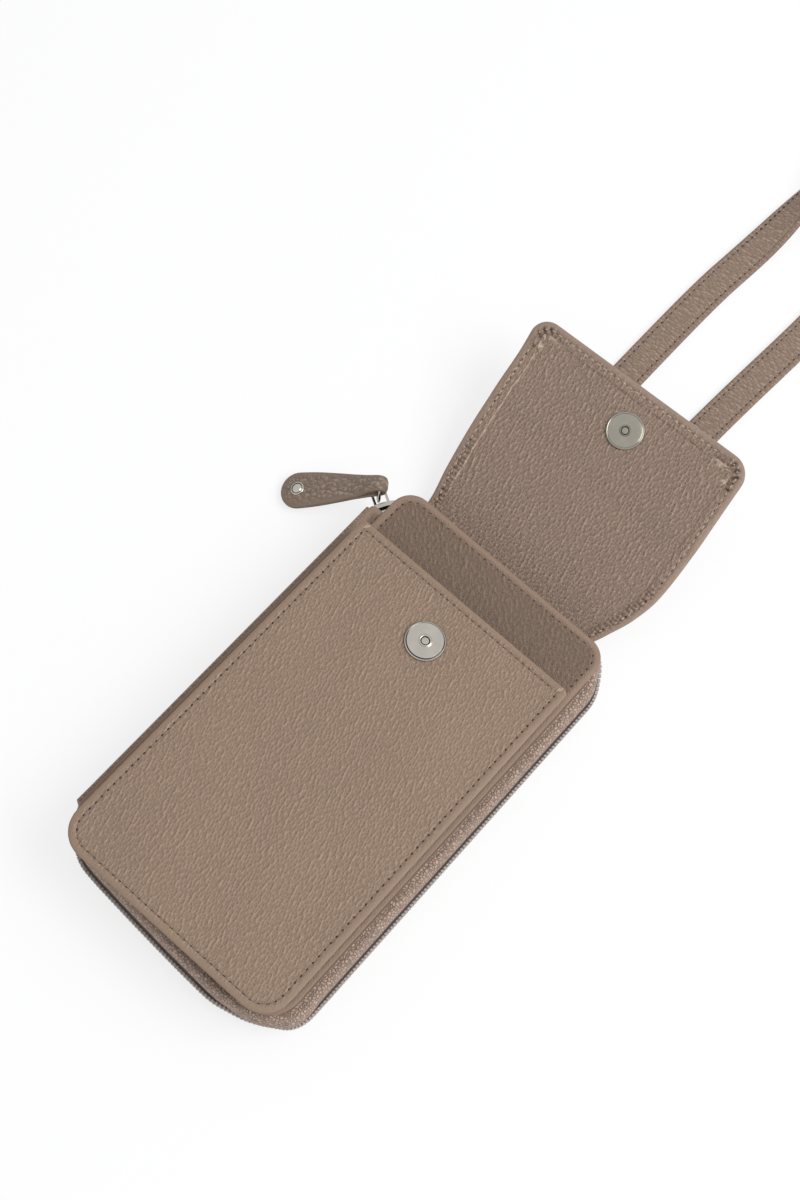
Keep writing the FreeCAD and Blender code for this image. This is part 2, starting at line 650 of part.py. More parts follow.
def zip_pull():
    """The folded leather pull with its rolled loop, and the rivet that holds its two layers."""
    loop_out = "pull_loop + pull_layer"
    corners = [
        ("- pull_narrow / 2", "pull_loop"), ("pull_narrow / 2", "pull_loop"),
        ("pull_wide / 2", "pull_shoulder"), ("pull_wide / 2", "pull_length"),
        ("- pull_wide / 2", "pull_length"), ("- pull_wide / 2", "pull_shoulder"),
    ]
    body = doc.addObject("PartDesign::Body", "PullSheet")
    pad = body.newObject("PartDesign::Pad", "PullSheet_pad")
    pad.Profile = outline(body, "PullSheet_outline", "XY_Plane", corners)
    pad.SideType = "Symmetric"
    bind(pad, "Length", "2 * pull_layer")
    doc.recompute()
    far = pad.Shape.BoundBox.YMax
    ends = edges_where(pad.Shape, lambda at, way: upright(way) and at.y > far - 1e-3)
    round_edges(body, pad, "PullSheet_corners", ends, "pull_corner")
    roll = cylinder("PullRoll", loop_out, "pull_narrow")
    eye = cylinder("PullEye", "pull_loop", "2 * pull_narrow")
    for piece, start in ((roll, "- pull_narrow / 2"), (eye, "- pull_narrow")):
        turn(piece, Rotation(Vector(0, 1, 0), 90))
        place(piece, start, "0", "0")
    shank_room = cylinder("ShankRoom", "rivet_shank / 2", "4 * pull_layer")
    place(shank_room, "0", "pull_length - rivet_inset", "- 2 * pull_layer")
    pull = cut("ZipPull", cut("PullLoop", fuse("PullSolid", [body, roll]), eye), shank_room)
    pull.Placement = pull_frame()
    keep(pull, "zip_pull")

    face, edge = f"pull_layer + rivet_tall", "rivet_diameter / 2"
    upper = [
        ("rivet_shank / 2", "pull_layer"), (edge, "pull_layer"), (edge, "pull_layer + rivet_lip"),
        ("rivet_crown", face), ("0", face),
    ]
    rivet = turned_piece("PullRivet", upper + [(x, f"- ( {y} )") for x, y in reversed(upper)])
    rivet_seat = Placement(Vector(0, size("pull_length - rivet_inset"), 0), Rotation())
    rivet.Placement = pull_frame().multiply(rivet_seat)
    keep(rivet, "pull_rivet")


# Strap: two flat ends under the flap and a loop put away on its edge

STRAP_FLAT_END = 352.0
STRAP_EDGE_START = 396.0
STRAP_SETTLED = 140.0
TWIST_STEPS = 6


def strap_section(x, y, z, roll):
    """The strap's rectangular section across its run along Y, rolled about that run."""
    wide, thick = size("strap_width") / 2, size("strap_thick") / 2
    c, s = math.cos(roll), math.sin(roll)
    corners = [(-wide, -thick), (wide, -thick), (wide, thick), (-wide, thick)]
    points = [Vector(x + c * a - s * b, y, z + s * a + c * b) for a, b in corners]
    return Part.makePolygon(points + points[:1])


def strap_end(name, across, side):
    """A strap end: out of the seam, down to the table, along it, then a quarter twist onto its edge."""
    wide, thick = size("strap_width") / 2, size("strap_thick") / 2
    seam, table = size("leather + strap_thick / 2"), thick
    runs = [(size(SEAM_FOOT), seam), (size(TOP), seam), (STRAP_SETTLED, table), (STRAP_FLAT_END, table)]
    sections = [strap_section(across, y, z, 0) for y, z in runs]
    for step in range(1, TWIST_STEPS + 1):
        share = step / TWIST_STEPS
        roll = side * math.radians(90) * share
        low = wide * abs(math.sin(roll)) + thick * abs(math.cos(roll))
        y = STRAP_FLAT_END + (STRAP_EDGE_START - STRAP_FLAT_END) * share
        sections.append(strap_section(across, y, low, roll))
    return feature(name, Part.makeLoft(sections, True, True))


def strap_loop():
    """The put-away loop: out to the side, round in one big turn and back to the other end."""
    left, right = size("strap_left_across"), size("strap_right_across")
    middle, half = (left + right) / 2, (right - left) / 2
    radius = size("strap_loop_radius")
    swing = math.acos((radius + half) / (2 * radius))
    start = Vector(left, STRAP_EDGE_START, size("strap_width") / 2)
    hub = Vector(middle, STRAP_EDGE_START + 2 * radius * math.sin(swing), start.z)

    def outer(first, last):
        angles = (first, (first + last) / 2, last)
        return [hub + Vector(math.cos(a), math.sin(a)) * radius for a in angles]

    def inner(side, first, last):
        centre = Vector(middle + side * (half + radius), STRAP_EDGE_START, start.z)
        angles = (first, (first + last) / 2, last)
        return [centre + Vector(-side * math.cos(a), math.sin(a)) * radius for a in angles]

    quarter = math.pi / 2
    turns = [
        inner(-1, 0, swing), outer(math.pi + swing, quarter), outer(quarter, -swing), inner(1, swing, 0),
    ]
    path = Part.Wire([Part.Arc(*turn_points).toShape() for turn_points in turns])
    shell = Part.BRepOffsetAPI.MakePipeShell(path)
    shell.add(strap_section(left, STRAP_EDGE_START, start.z, math.radians(90)))
    shell.build()
    shell.makeSolid()
    return feature("StrapLoop", shell.shape())


def strap():
    keep(strap_end("StrapLeft", size("strap_left_across"), 1), "strap_left")
    keep(strap_end("StrapRight", size("strap_right_across"), -1), "strap_right")
    keep(strap_loop(), "strap_loop")


def write_parts():
    """Check every object, then write each sub-part to its own file."""
    doc.recompute()
    for thing in doc.Objects:
        if "Invalid" in thing.State or "Error" in thing.State:
            raise RuntimeError(f"{thing.Label} failed to build: {thing.State}")
    os.makedirs("parts", exist_ok=True)
    for thing in PARTS:
        if thing.Shape.isNull() or not thing.Shape.isValid():
            raise RuntimeError(f"{thing.Label} has no valid shape")
        thing.Shape.exportStep(os.path.join("parts", f"{thing.Label}.step"))


rear_cover()
spine()
front_cover()
linings()
zip_rows()
seam_welt()
pocket()
flap()
zip_slider()
pull_ring()
zip_pull()
strap()
write_parts()
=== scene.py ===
import json
import math

import bmesh
import bpy
from mathutils import Matrix, Vector


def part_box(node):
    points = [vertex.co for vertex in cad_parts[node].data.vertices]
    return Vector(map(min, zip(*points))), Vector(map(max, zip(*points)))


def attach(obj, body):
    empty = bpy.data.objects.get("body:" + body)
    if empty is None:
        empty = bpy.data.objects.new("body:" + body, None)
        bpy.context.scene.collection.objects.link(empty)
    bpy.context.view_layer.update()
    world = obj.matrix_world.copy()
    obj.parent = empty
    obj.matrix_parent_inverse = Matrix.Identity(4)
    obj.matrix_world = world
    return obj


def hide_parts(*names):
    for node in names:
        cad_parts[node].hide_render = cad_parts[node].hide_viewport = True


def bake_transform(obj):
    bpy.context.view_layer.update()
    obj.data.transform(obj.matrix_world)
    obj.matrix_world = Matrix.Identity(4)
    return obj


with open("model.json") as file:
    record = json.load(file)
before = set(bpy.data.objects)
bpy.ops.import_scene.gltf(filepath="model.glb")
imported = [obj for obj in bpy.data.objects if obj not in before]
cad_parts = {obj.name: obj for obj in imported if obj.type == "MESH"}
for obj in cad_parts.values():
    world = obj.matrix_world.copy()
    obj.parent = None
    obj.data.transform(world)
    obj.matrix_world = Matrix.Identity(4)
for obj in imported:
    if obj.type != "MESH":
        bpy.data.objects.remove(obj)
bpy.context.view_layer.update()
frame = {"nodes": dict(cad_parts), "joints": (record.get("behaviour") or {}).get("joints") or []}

# A leather pouch on its back, drawn in millimetres: +X is its right side, +Y its top, +Z its front.
MM = 0.001
UP = Vector((0, 0, 1))
JOINTS = {joint["name"]: joint for joint in frame["joints"]}


def joint_place(name):
    return Vector(JOINTS[name]["pos_m"]) / MM


def span(name):
    """A node's lowest and highest corners."""
    low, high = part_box(name)
    return Vector(low) / MM, Vector(high) / MM


def ease(start, end, value):
    """0 before start, 1 after end, smooth between them."""
    share = min(max((value - start) / (end - start), 0.0), 1.0)
    return share * share * (3 - 2 * share)


def bump(value, centre, width):
    """1 at the centre, falling away smoothly over a width."""
    return math.exp(-(((value - centre) / width) ** 2))


def along(table, value):
    """An amount read from (place, amount) pairs, on a smooth line through them."""
    value = min(max(value, table[0][0]), table[-1][0])
    index = max(i for i, pair in enumerate(table[:-1]) if pair[0] <= value)

    def slope(i):
        before, after = table[max(i - 1, 0)], table[min(i + 1, len(table) - 1)]
        return (after[1] - before[1]) / (after[0] - before[0])

    (place_a, amount_a), (place_b, amount_b) = table[index], table[index + 1]
    gap = place_b - place_a
    t = (value - place_a) / gap
    ends = amount_a + (amount_b - amount_a) * t * t * (3 - 2 * t)
    return ends + gap * t * (1 - t) * ((1 - t) * slope(index) - t * slope(index + 1))


def even(first, last, pitch):
    """Places from first to last, at about a pitch."""
    count = max(1, round((last - first) / pitch))
    return [first + (last - first) * k / count for k in range(count + 1)]


def spaced(points, pitch):
    """(place, heading) pairs at an even pitch along a line of points."""
    places, carried = [], pitch / 2
    for start, end in zip(points, points[1:]):
        run = (end - start).length
        if run < 1e-9:
            continue
        heading = (end - start) / run
        while carried <= run:
            places.append((start + heading * carried, heading))
            carried += pitch
        carried -= run
    return places


class Outline:
    """A rectangle with four corner radii, anticlockwise from the lower left corner."""

    SIDES = ((-1, -1), (1, -1), (1, 1), (-1, 1))
    ARC_STEPS = 12
    LEAST_RADIUS = 0.2

    def __init__(self, low, high, radii):
        self.low, self.high, self.radii = low, high, radii
        self.middle = ((low[0] + high[0]) / 2, (low[1] + high[1]) / 2)

    def arc(self, number, inset=0.0):
        """Centre and radius of a corner's arc at an inset from the edge."""
        side_x, side_y = self.SIDES[number]
        edge_x = self.high[0] if side_x > 0 else self.low[0]
        edge_y = self.high[1] if side_y > 0 else self.low[1]
        radius = max(self.radii[number] - inset, self.LEAST_RADIUS)
        reach = radius + inset
        return Vector((edge_x - side_x * reach, edge_y - side_y * reach)), radius

    def reach(self, x, y):
        """The nearest corner's arc and side, and how far a point lies past its centre each way."""
        side = (1 if x > self.middle[0] else -1, 1 if y > self.middle[1] else -1)
        centre, radius = self.arc(self.SIDES.index(side))
        return centre, radius, side, (x - centre.x) * side[0], (y - centre.y) * side[1]

    def rounded(self, x, y):
        """A point of the plain rectangle, drawn in where the corner is round, at its old depth."""
        centre, _, side, across, up = self.reach(x, y)
        if across <= 0 or up <= 0:
            return x, y
        far = max(across, up)
        angle = math.pi / 4 * min(across, up) / far
        if up > across:
            angle = math.pi / 2 - angle
        across, up = far * math.cos(angle), far * math.sin(angle)
        return centre.x + side[0] * across, centre.y + side[1] * up

    def depth(self, x, y):
        """How far a point lies inside the edge."""
        _, radius, _, across, up = self.reach(x, y)
        if across > 0 and up > 0:
            return radius - math.hypot(across, up)
        return radius - max(across, up)

    def line(self, inset):
        """The edge line at an inset, anticlockwise from the lower left corner's arc, closed."""
        points = []
        for number in range(4):
            centre, radius = self.arc(number, inset)
            for step in range(self.ARC_STEPS + 1):
                angle = math.radians(180 + 90 * number + 90 / self.ARC_STEPS * step)
                points.append(centre + radius * Vector((math.cos(angle), math.sin(angle))))
        return points + points[:1]


def grid_lines(low, high, edge_steps, pitch):
    """Places of a sheet's grid lines: edge_steps in from both ends, an even pitch between."""
    start = [low + step for step in edge_steps]
    end = [high - step for step in reversed(edge_steps)]
    return start + even(start[-1], end[0], pitch)[1:-1] + end


def placed_grid(bm, columns, rows, place):
    """A grid of points, each put where place(vert, column, row) says."""
    made = bmesh.ops.create_grid(bm, x_segments=columns - 1, y_segments=rows - 1, size=1.0)
    for vert in made["verts"]:
        column = round((vert.co.x + 1) / 2 * (columns - 1))
        row = round((vert.co.y + 1) / 2 * (rows - 1))
        vert.co = place(vert, column, row)


def sheet(outline, xs, ys, upper, lower, place, hem_cut_and_painted_shading=None):
    """A closed sheet: an upper and a lower skin with rounded corners, joined round their edge.

    hem_cut_and_painted_shading(x, y, depth) says how far the upper skin shows a cut, undyed edge,
    or below 0 painted shade in a crease.
    """
    bm = bmesh.new()
    edge = bm.verts.layers.float.new("edge_mm")
    hem = bm.verts.layers.float.new("hem_cut_and_painted_shading")
    for skin in (upper, lower):

        def at(vert, column, row):
            x, y = outline.rounded(xs[column], ys[row])
            depth = max(outline.depth(x, y), 0.0)
            vert[edge] = depth
            if hem_cut_and_painted_shading and skin is upper:
                vert[hem] = hem_cut_and_painted_shading(x, y, depth)
            return place(x, y, skin(x, y, depth))

        placed_grid(bm, len(xs), len(ys), at)
    bmesh.ops.bridge_loops(bm, edges=[e for e in bm.edges if e.is_boundary])
    bmesh.ops.recalc_face_normals(bm, faces=bm.faces)
    return bm


def flat(x, y, height):
    return Vector((x, y, height))


def band(stations, section):
    """A closed section carried along stations of (place, across, up), with closed ends."""
    bm = bmesh.new()
    loop = list(section) + [section[0]]

    def at(vert, column, row):
        place, across, up = stations[row]
        return place + across * loop[column][0] + up * loop[column][1]

    placed_grid(bm, len(loop), len(stations), at)
    bmesh.ops.remove_doubles(bm, verts=bm.verts, dist=1e-5)
    bmesh.ops.holes_fill(bm, edges=[e for e in bm.edges if e.is_boundary], sides=0)
    bmesh.ops.recalc_face_normals(bm, faces=bm.faces)
    return bm


def lathe(profile, steps=72):
    """A profile of (radius, height) turned about Z; a third number marks how far painted shade
    darkens a recess.
    """
    bm = bmesh.new()
    painted_recess_shade = bm.verts.layers.float.new("painted_recess_shade")
    verts = []
    for radius, height, *mark in profile:
        verts.append(bm.verts.new((radius, 0, height)))
        # The third number paints shade into a recess.
        verts[-1][painted_recess_shade] = mark[0] if mark else 0.0
    edges = [bm.edges.new(pair) for pair in zip(verts, verts[1:])]
    bmesh.ops.spin(
        bm, geom=verts + edges, cent=(0, 0, 0), axis=(0, 0, 1), angle=2 * math.pi,
        steps=steps, use_merge=True, use_duplicate=False,
    )
    bmesh.ops.remove_doubles(bm, verts=bm.verts, dist=1e-4)
    bmesh.ops.recalc_face_normals(bm, faces=bm.faces)
    return bm


def moved(bm, matrix):
    bmesh.ops.transform(bm, matrix=matrix, verts=bm.verts)
    return bm


def copies(shape, matrices):
    """One mesh of the same small shape set at every matrix."""
    pattern = bpy.data.meshes.new("pattern")
    shape.to_mesh(pattern)
    shape.free()
    bm = bmesh.new()
    for matrix in matrices:
        one = pattern.copy()
        one.transform(matrix)
        bm.from_mesh(one)
        bpy.data.meshes.remove(one)
    bpy.data.meshes.remove(pattern)
    return bm


def standing(place, *axes):
    """A matrix that lays a shape's own X, Y and Z along three axes, its origin at a place."""
    matrix = Matrix(axes).transposed().to_4x4()
    matrix.translation = place
    return matrix


def set_in(place, heading, normal):
    """A matrix that lays a small shape along a heading, its top towards a normal."""
    across = normal.cross(heading).normalized()
    return standing(place, heading, across, heading.cross(across).normalized())


def piece(name, bm, material, body=None, replaces=(), sharp=60):
    """A bmesh drawn in millimetres, made into a piece that rides on a body."""
    bmesh.ops.scale(bm, vec=(MM, MM, MM), verts=bm.verts)
    mesh = bpy.data.meshes.new(name)
    bm.to_mesh(mesh)
    bm.free()
    mesh.materials.append(material)
    mesh.shade_smooth()
    mesh.set_sharp_from_angle(angle=math.radians(sharp))
    obj = bpy.data.objects.new(name, mesh)
    bpy.context.scene.collection.objects.link(obj)
    if body:
        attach(obj, body)
    if replaces:
        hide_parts(*replaces)
    return obj


# Materials: a shared grain for all leather, a weave for cloth, plain noise for metal and thread


def paint(red, green, blue):
    """A colour as it looks on a screen, 0 to 255, in the renderer's linear units."""
    return (*[((channel / 255 + 0.055) / 1.055) ** 2.4 for channel in (red, green, blue)], 1.0)


def shaded(colour, share):
    return (*[channel * share for channel in colour[:3]], 1.0)


def feed(tree, made, inputs):
    """A node's inputs, given by name or number, set to values or linked."""
    for key, value in inputs.items():
        if isinstance(value, bpy.types.NodeSocket):
            tree.links.new(value, made.inputs[key])
        else:
            made.inputs[key].default_value = value


def node(tree, kind, inputs, **settings):
    made = tree.nodes.new(kind)
    for key, value in settings.items():
        setattr(made, key, value)
    feed(tree, made, inputs)
    return made.outputs


def maths(tree, operation, first, second=0.0):
    return node(tree, "ShaderNodeMath", {0: first, 1: second}, operation=operation)[0]


def times(tree, first, second):
    return maths(tree, "MULTIPLY", first, second)


def vectors(tree, operation, first, second):
    return node(tree, "ShaderNodeVectorMath", {0: first, 1: second}, operation=operation)[0]


def ramp(tree, value, low, high, out_low=0.0, out_high=1.0):
    """A value read smoothly from one range into another."""
    ends = {"From Min": low, "From Max": high, "To Min": out_low, "To Max": out_high}
    settings = {"interpolation_type": "SMOOTHSTEP"}
    return node(tree, "ShaderNodeMapRange", {"Value": value, **ends}, **settings)["Result"]


def mixed(tree, share, first, second):
    """Two colours mixed; share, first and second are values or links."""
    return node(tree, "ShaderNodeMix", {0: share, 6: first, 7: second}, data_type="RGBA")[2]


def noise(tree, place, scale, detail, roughness=0.5, output="Fac"):
    inputs = {"Vector": place, "Scale": scale, "Detail": detail, "Roughness": roughness}
    return node(tree, "ShaderNodeTexNoise", inputs)[output]


def cells(tree, place, count, feature, dimensions, output):
    """Cells like pebbles, a count of them to the metre."""
    settings = {"feature": feature, "voronoi_dimensions": dimensions}
    return node(tree, "ShaderNodeTexVoronoi", {"Vector": place, "Scale": count}, **settings)[output]


def attribute(tree, name):
    return node(tree, "ShaderNodeAttribute", {}, attribute_name=name)["Fac"]


def bumped(tree, height, strength, distance):
    inputs = {"Strength": strength, "Distance": distance, "Height": height}
    return node(tree, "ShaderNodeBump", inputs)[0]


def new_group(name, count, outputs):
    """A node group that takes a place and a count per metre and puts out values."""
    group = bpy.data.node_groups.new(name, "ShaderNodeTree")
    group.interface.new_socket("Place", in_out="INPUT", socket_type="NodeSocketVector")
    group.interface.new_socket(count, in_out="INPUT", socket_type="NodeSocketFloat")
    for title in outputs:
        group.interface.new_socket(title, in_out="OUTPUT", socket_type="NodeSocketFloat")
    given, result = group.nodes.new("NodeGroupInput"), group.nodes.new("NodeGroupOutput")
    return group, given.outputs["Place"], given.outputs[count], result


def grain_group(name, dimensions):
    """Pebbled leather: pebbles' height, the veins and fine creases between them, a drift of tone.

    Flank runs from below 0 to above 0 across each pebble, so that its sides can be painted pale and
    dark, painted light and shade as if light fell from one side.
    """
    group, place, pebbles, result = new_group(
        name, "Pebbles", ("Height", "Vein", "Fine", "Tone", "Flank"),
    )
    wander = noise(group, place, times(group, pebbles, 0.45), 2.0, output="Color")
    centred = vectors(group, "SUBTRACT", wander, (0.5, 0.5, 0.5))
    reach = maths(group, "DIVIDE", 0.6, pebbles)
    pushed = node(group, "ShaderNodeVectorMath", {0: centred, "Scale": reach}, operation="SCALE")
    warped = vectors(group, "ADD", place, pushed[0])
    to_vein = cells(group, warped, pebbles, "DISTANCE_TO_EDGE", dimensions, "Distance")
    to_crease = cells(
        group, warped, times(group, pebbles, 2.2), "DISTANCE_TO_EDGE", dimensions, "Distance",
    )
    middles = cells(group, warped, pebbles, "F1", dimensions, "Position")
    off_middle = vectors(group, "SUBTRACT", warped, middles)
    across = node(group, "ShaderNodeSeparateXYZ", {0: off_middle})["Y"]
    dust = noise(group, place, times(group, pebbles, 5.0), 3.0)
    hills = maths(
        group, "ADD", times(group, ramp(group, to_vein, 0.0, 0.34), 0.6),
        times(group, ramp(group, to_crease, 0.0, 0.3), 0.24),
    )
    fading = ramp(group, noise(group, place, times(group, pebbles, 0.6), 1.0), 0.34, 0.56, 0.6, 1.0)
    feed(group, result, {
        "Height": maths(group, "ADD", hills, times(group, dust, 0.16)),
        "Vein": times(group, ramp(group, to_vein, 0.15, 0.0), fading),
        "Fine": ramp(group, to_crease, 0.13, 0.0),
        "Tone": noise(group, place, 34.0, 3.0, roughness=0.6),
        "Flank": times(group, across, pebbles),
    })
    return group


def weave_group():
    """Plain woven cloth: threads crossing at an even count per metre."""
    group, place, threads, result = new_group("woven_threads", "Threads", ("Height", "Tone"))
    axes = node(group, "ShaderNodeSeparateXYZ", {0: place})
    turns = times(group, threads, math.pi)
    rows = []
    for axis in ("X", "Y", "Z"):
        swing = maths(group, "SINE", times(group, axes[axis], turns))
        rows.append(maths(group, "ABSOLUTE", swing))
    feed(group, result, {
        "Height": maths(
            group, "MAXIMUM", times(group, rows[0], rows[2]), times(group, rows[1], 0.9),
        ),
        "Tone": noise(group, place, 400.0, 2.0),
    })
    return group


FLAT_GRAIN = grain_group("flat_grain", "2D")
ROUND_GRAIN = grain_group("round_grain", "3D")
WEAVE = weave_group()


def new_material(name):
    material = bpy.data.materials.new(name)
    material.use_nodes = True
    tree = material.node_tree
    place = node(tree, "ShaderNodeTexCoord", {})["Object"]
    return material, tree, tree.nodes["Principled BSDF"], place


def leather(name, colour, pebbles, stretch, pale=0.0, dark=0.0, fine=0.0, painted_top_light=0.0, painted_flank_light=0.0,
            relief=0.5, edge=True, hem=False, margin=0.0, pattern=FLAT_GRAIN):
    """Grained leather, its pebbles longer along a heading: stretch is (long, short, degrees).

    pale and dark say how far veins lighten and darken, as painted highlight and painted shade;
    fine how far small creases darken, as painted shade; painted_top_light how much paler pebble
    tops are than their feet, a painted highlight on the tops and painted shade at the feet;
    painted_flank_light how far a pebble's two sides differ, one side painted lit and the other
    painted shaded as if light fell from one side; margin how pale the strip outside the stitches
    is. An edge is rubbed smooth; a hem shows its cut edge and painted shade in its creases.
    """
    material, tree, shader, place = new_material(name)
    long, short, heading = stretch
    turned = node(
        tree, "ShaderNodeMapping",
        {"Vector": place, "Scale": (long, short, 1.0), "Rotation": (0, 0, math.radians(heading))},
        vector_type="TEXTURE",
    )
    inputs = {"Place": turned[0], "Pebbles": pebbles}
    grain = node(tree, "ShaderNodeGroup", inputs, node_tree=pattern)
    forms = [grain["Height"], grain["Vein"], grain["Fine"], grain["Flank"]]
    if edge:
        inset = attribute(tree, "edge_mm")
        open_face = ramp(tree, inset, 1.2, 3.6, 0.35, 1.0)
        forms = [times(tree, form, open_face) for form in forms]
    height, vein, crease_shade, flank = forms
    tone = ramp(tree, grain["Tone"], 0.3, 0.7)
    base = mixed(tree, tone, shaded(colour, 0.95), shaded(colour, 1.05))
    # Painted highlight on the pebble tops and painted shade at their feet.
    if painted_top_light:
        shaded_feet, lit_tops = (mixed(tree, painted_top_light, base, shaded(colour, shade)) for shade in (0.5, 1.6))
        base = mixed(tree, ramp(tree, height, 0.25, 0.95), shaded_feet, lit_tops)
    # Painted light and shade: pebble sides painted pale and dark as if light fell from one side,
    # painted highlight and painted shade in the veins, painted shade in the small creases; then the
    # paler margin and rubbed edge of the leather itself.
    painted_light_and_tints = [
        (ramp(tree, flank, 0.12, 0.48, 0.0, painted_flank_light), 1.75),
        (ramp(tree, flank, -0.05, -0.45, 0.0, painted_flank_light * 0.8), 0.5),
        (times(tree, crease_shade, fine), 0.45),
        (times(tree, vein, pale), 1.8),
        (times(tree, vein, dark), 0.4),
    ]
    if edge:
        painted_light_and_tints.append((ramp(tree, inset, 4.2, 2.8, 0.0, margin), 1.5))
        painted_light_and_tints.append((ramp(tree, inset, 1.1, 0.2, 0.0, 0.2), 1.25))
    for share, shade in painted_light_and_tints:
        base = mixed(tree, share, base, shaded(colour, shade))
    # The hem's mark: above 0 the cream of its cut edge, below 0 painted shade in its creases.
    if hem:
        mark = attribute(tree, "hem_cut_and_painted_shading")
        base = mixed(tree, ramp(tree, mark, 0.0, -1.0), base, shaded(colour, 0.25))
        base = mixed(tree, ramp(tree, mark, 0.0, 1.0), base, paint(212, 192, 168))
    feed(tree, shader, {
        "Base Color": base,
        "Roughness": ramp(tree, grain["Height"], 0.2, 1.0, 0.62, 0.48),
        "Specular IOR Level": 0.35,
        "Normal": bumped(tree, height, 1.0, relief * 0.0005),
    })
    return material


def cloth(name, colour, threads, relief):
    material, tree, shader, place = new_material(name)
    inputs = {"Place": place, "Threads": threads}
    weave = node(tree, "ShaderNodeGroup", inputs, node_tree=WEAVE)
    # Darker where the weave is low: painted shade between the threads.
    base = mixed(tree, weave["Height"], shaded(colour, 0.55), colour)
    worn = ramp(tree, weave["Tone"], 0.3, 0.7, 0.0, 0.35)
    feed(tree, shader, {
        "Base Color": mixed(tree, worn, base, shaded(colour, 0.8)),
        "Roughness": 0.85,
        "Normal": bumped(tree, weave["Height"], relief, 0.0003),
    })
    return material


def metal(name, colour, low, high, metallic=1.0):
    """Plated metal, its gloss broken by fine rubbing between two roughnesses, its recesses darkened
    by painted shade.
    """
    material, tree, shader, place = new_material(name)
    rubbing = noise(tree, place, 900.0, 4.0)
    cloud = ramp(tree, noise(tree, place, 160.0, 2.0), 0.35, 0.65)
    base = mixed(tree, cloud, shaded(colour, 0.93), colour)
    # Painted shade darkens the recesses marked on the mesh.
    feed(tree, shader, {
        "Base Color": mixed(tree, attribute(tree, "painted_recess_shade"), base, shaded(colour, 0.1)),
        "Roughness": ramp(tree, rubbing, 0.3, 0.7, low, high),
        "Metallic": metallic,
        "Normal": bumped(tree, rubbing, 0.04, 0.0002),
    })
    return material


def thread(name, colour):
    material, tree, shader, place = new_material(name)
    ply = noise(tree, place, 2600.0, 3.0)
    twist = ramp(tree, ply, 0.35, 0.65)
    feed(tree, shader, {
        "Base Color": mixed(tree, twist, shaded(colour, 0.7), shaded(colour, 1.1)),
        "Roughness": 0.7,
        "Normal": bumped(tree, ply, 0.3, 0.0002),
    })
    return material


POCKET_LEATHER = leather(
    "pocket_leather", paint(143, 121, 103), 960.0, (1.9, 0.95, 106),
    pale=0.45, fine=0.1, painted_flank_light=0.78, relief=0.6,
)
# Darker than the pocket's leather: partly its own tone, partly painted shade standing in for the
# shadow of a phone resting on the pouch, which is not drawn.
COVER_LEATHER = leather(
    "cover_leather", paint(125, 105, 90), 820.0, (1.6, 0.95, 128),
    pale=0.35, dark=0.1, fine=0.2, painted_flank_light=0.75, relief=1.0, margin=0.75,
)
FLAP_LEATHER = leather(
    "flap_leather", paint(148, 127, 112), 860.0, (1.7, 0.95, 104),
    pale=0.5, fine=0.15, painted_flank_light=1.0, relief=1.1, hem=True,
)
# A paler, pinker leather, its base colour raised further as painted light to brighten its shaded
# lower run.
GUSSET_LEATHER = leather(
    "gusset_leather", paint(182, 157, 141), 800.0, (1.2, 1.0, 0),
    dark=0.85, painted_top_light=0.5, painted_flank_light=0.4, relief=0.9, edge=False, pattern=ROUND_GRAIN,
)
STRAP_LEATHER = leather(
    "strap_leather", paint(146, 125, 109), 620.0, (1.5, 0.85, 10),
    dark=0.2, fine=0.25, painted_top_light=0.2, painted_flank_light=0.5, relief=0.6, edge=False, pattern=ROUND_GRAIN,
)
PULL_LEATHER = leather(
    "pull_leather", paint(142, 123, 108), 460.0, (1.2, 0.9, 30),
    dark=0.3, fine=0.2, painted_top_light=0.35, painted_flank_light=0.5, relief=0.8, pattern=ROUND_GRAIN,
)
LINING_CLOTH = cloth("lining_cloth", paint(128, 108, 92), 1500.0, 0.35)
# The tape's dark taupe is partly its own colour, partly painted shade for the shadowed gap between
# the gusset and the teeth.
TAPE_CLOTH = cloth("tape_cloth", paint(78, 65, 57), 2200.0, 0.5)
TEETH_PLASTIC = metal("zip_teeth_finish", paint(190, 180, 174), 0.4, 0.55, metallic=0.0)
NICKEL = metal("nickel_plate", paint(184, 180, 172), 0.12, 0.22)
# The stud's plating is the same nickel painted darker: painted shade for the dimmer reflections it
# shows.
SHADED_STUD_NICKEL = metal("stud_nickel_painted_shade", paint(158, 153, 143), 0.12, 0.22)
STEEL = metal("washer_steel", paint(150, 150, 148), 0.35, 0.5)
THREAD = thread("taupe_thread", paint(134, 112, 95))
PALE_THREAD = thread("pale_thread", paint(206, 180, 152))
# Dark beads at the needle holes: painted shade in the holes.
HOLE_SHADE = thread("painted_hole_shade", paint(36, 27, 22))


# Stitches: thread, and dark beads of painted shade at the needle holes between

STITCH_PITCH, STITCH_INSET = 3.35, 3.4
THREAD_SIZE, TACK_SIZE = (2.3, 0.6, 0.42), (2.6, 0.5, 0.4)
SIDE_HOLE, END_HOLE = (1.35, 1.15, 1.3, 1.0), (1.7, 0.5, 1.15, 1.0)
HOLE_DEEP, END_SLANT = 0.34, 0.22


def bead(size, around=6, rings=5):
    """A small rounded shape that lies along X: a stitch of thread or a needle hole."""
    bm = bmesh.new()
    bmesh.ops.create_uvsphere(bm, u_segments=around, v_segments=rings, radius=0.5)
    bmesh.ops.scale(bm, vec=size, verts=bm.verts)
    return bm


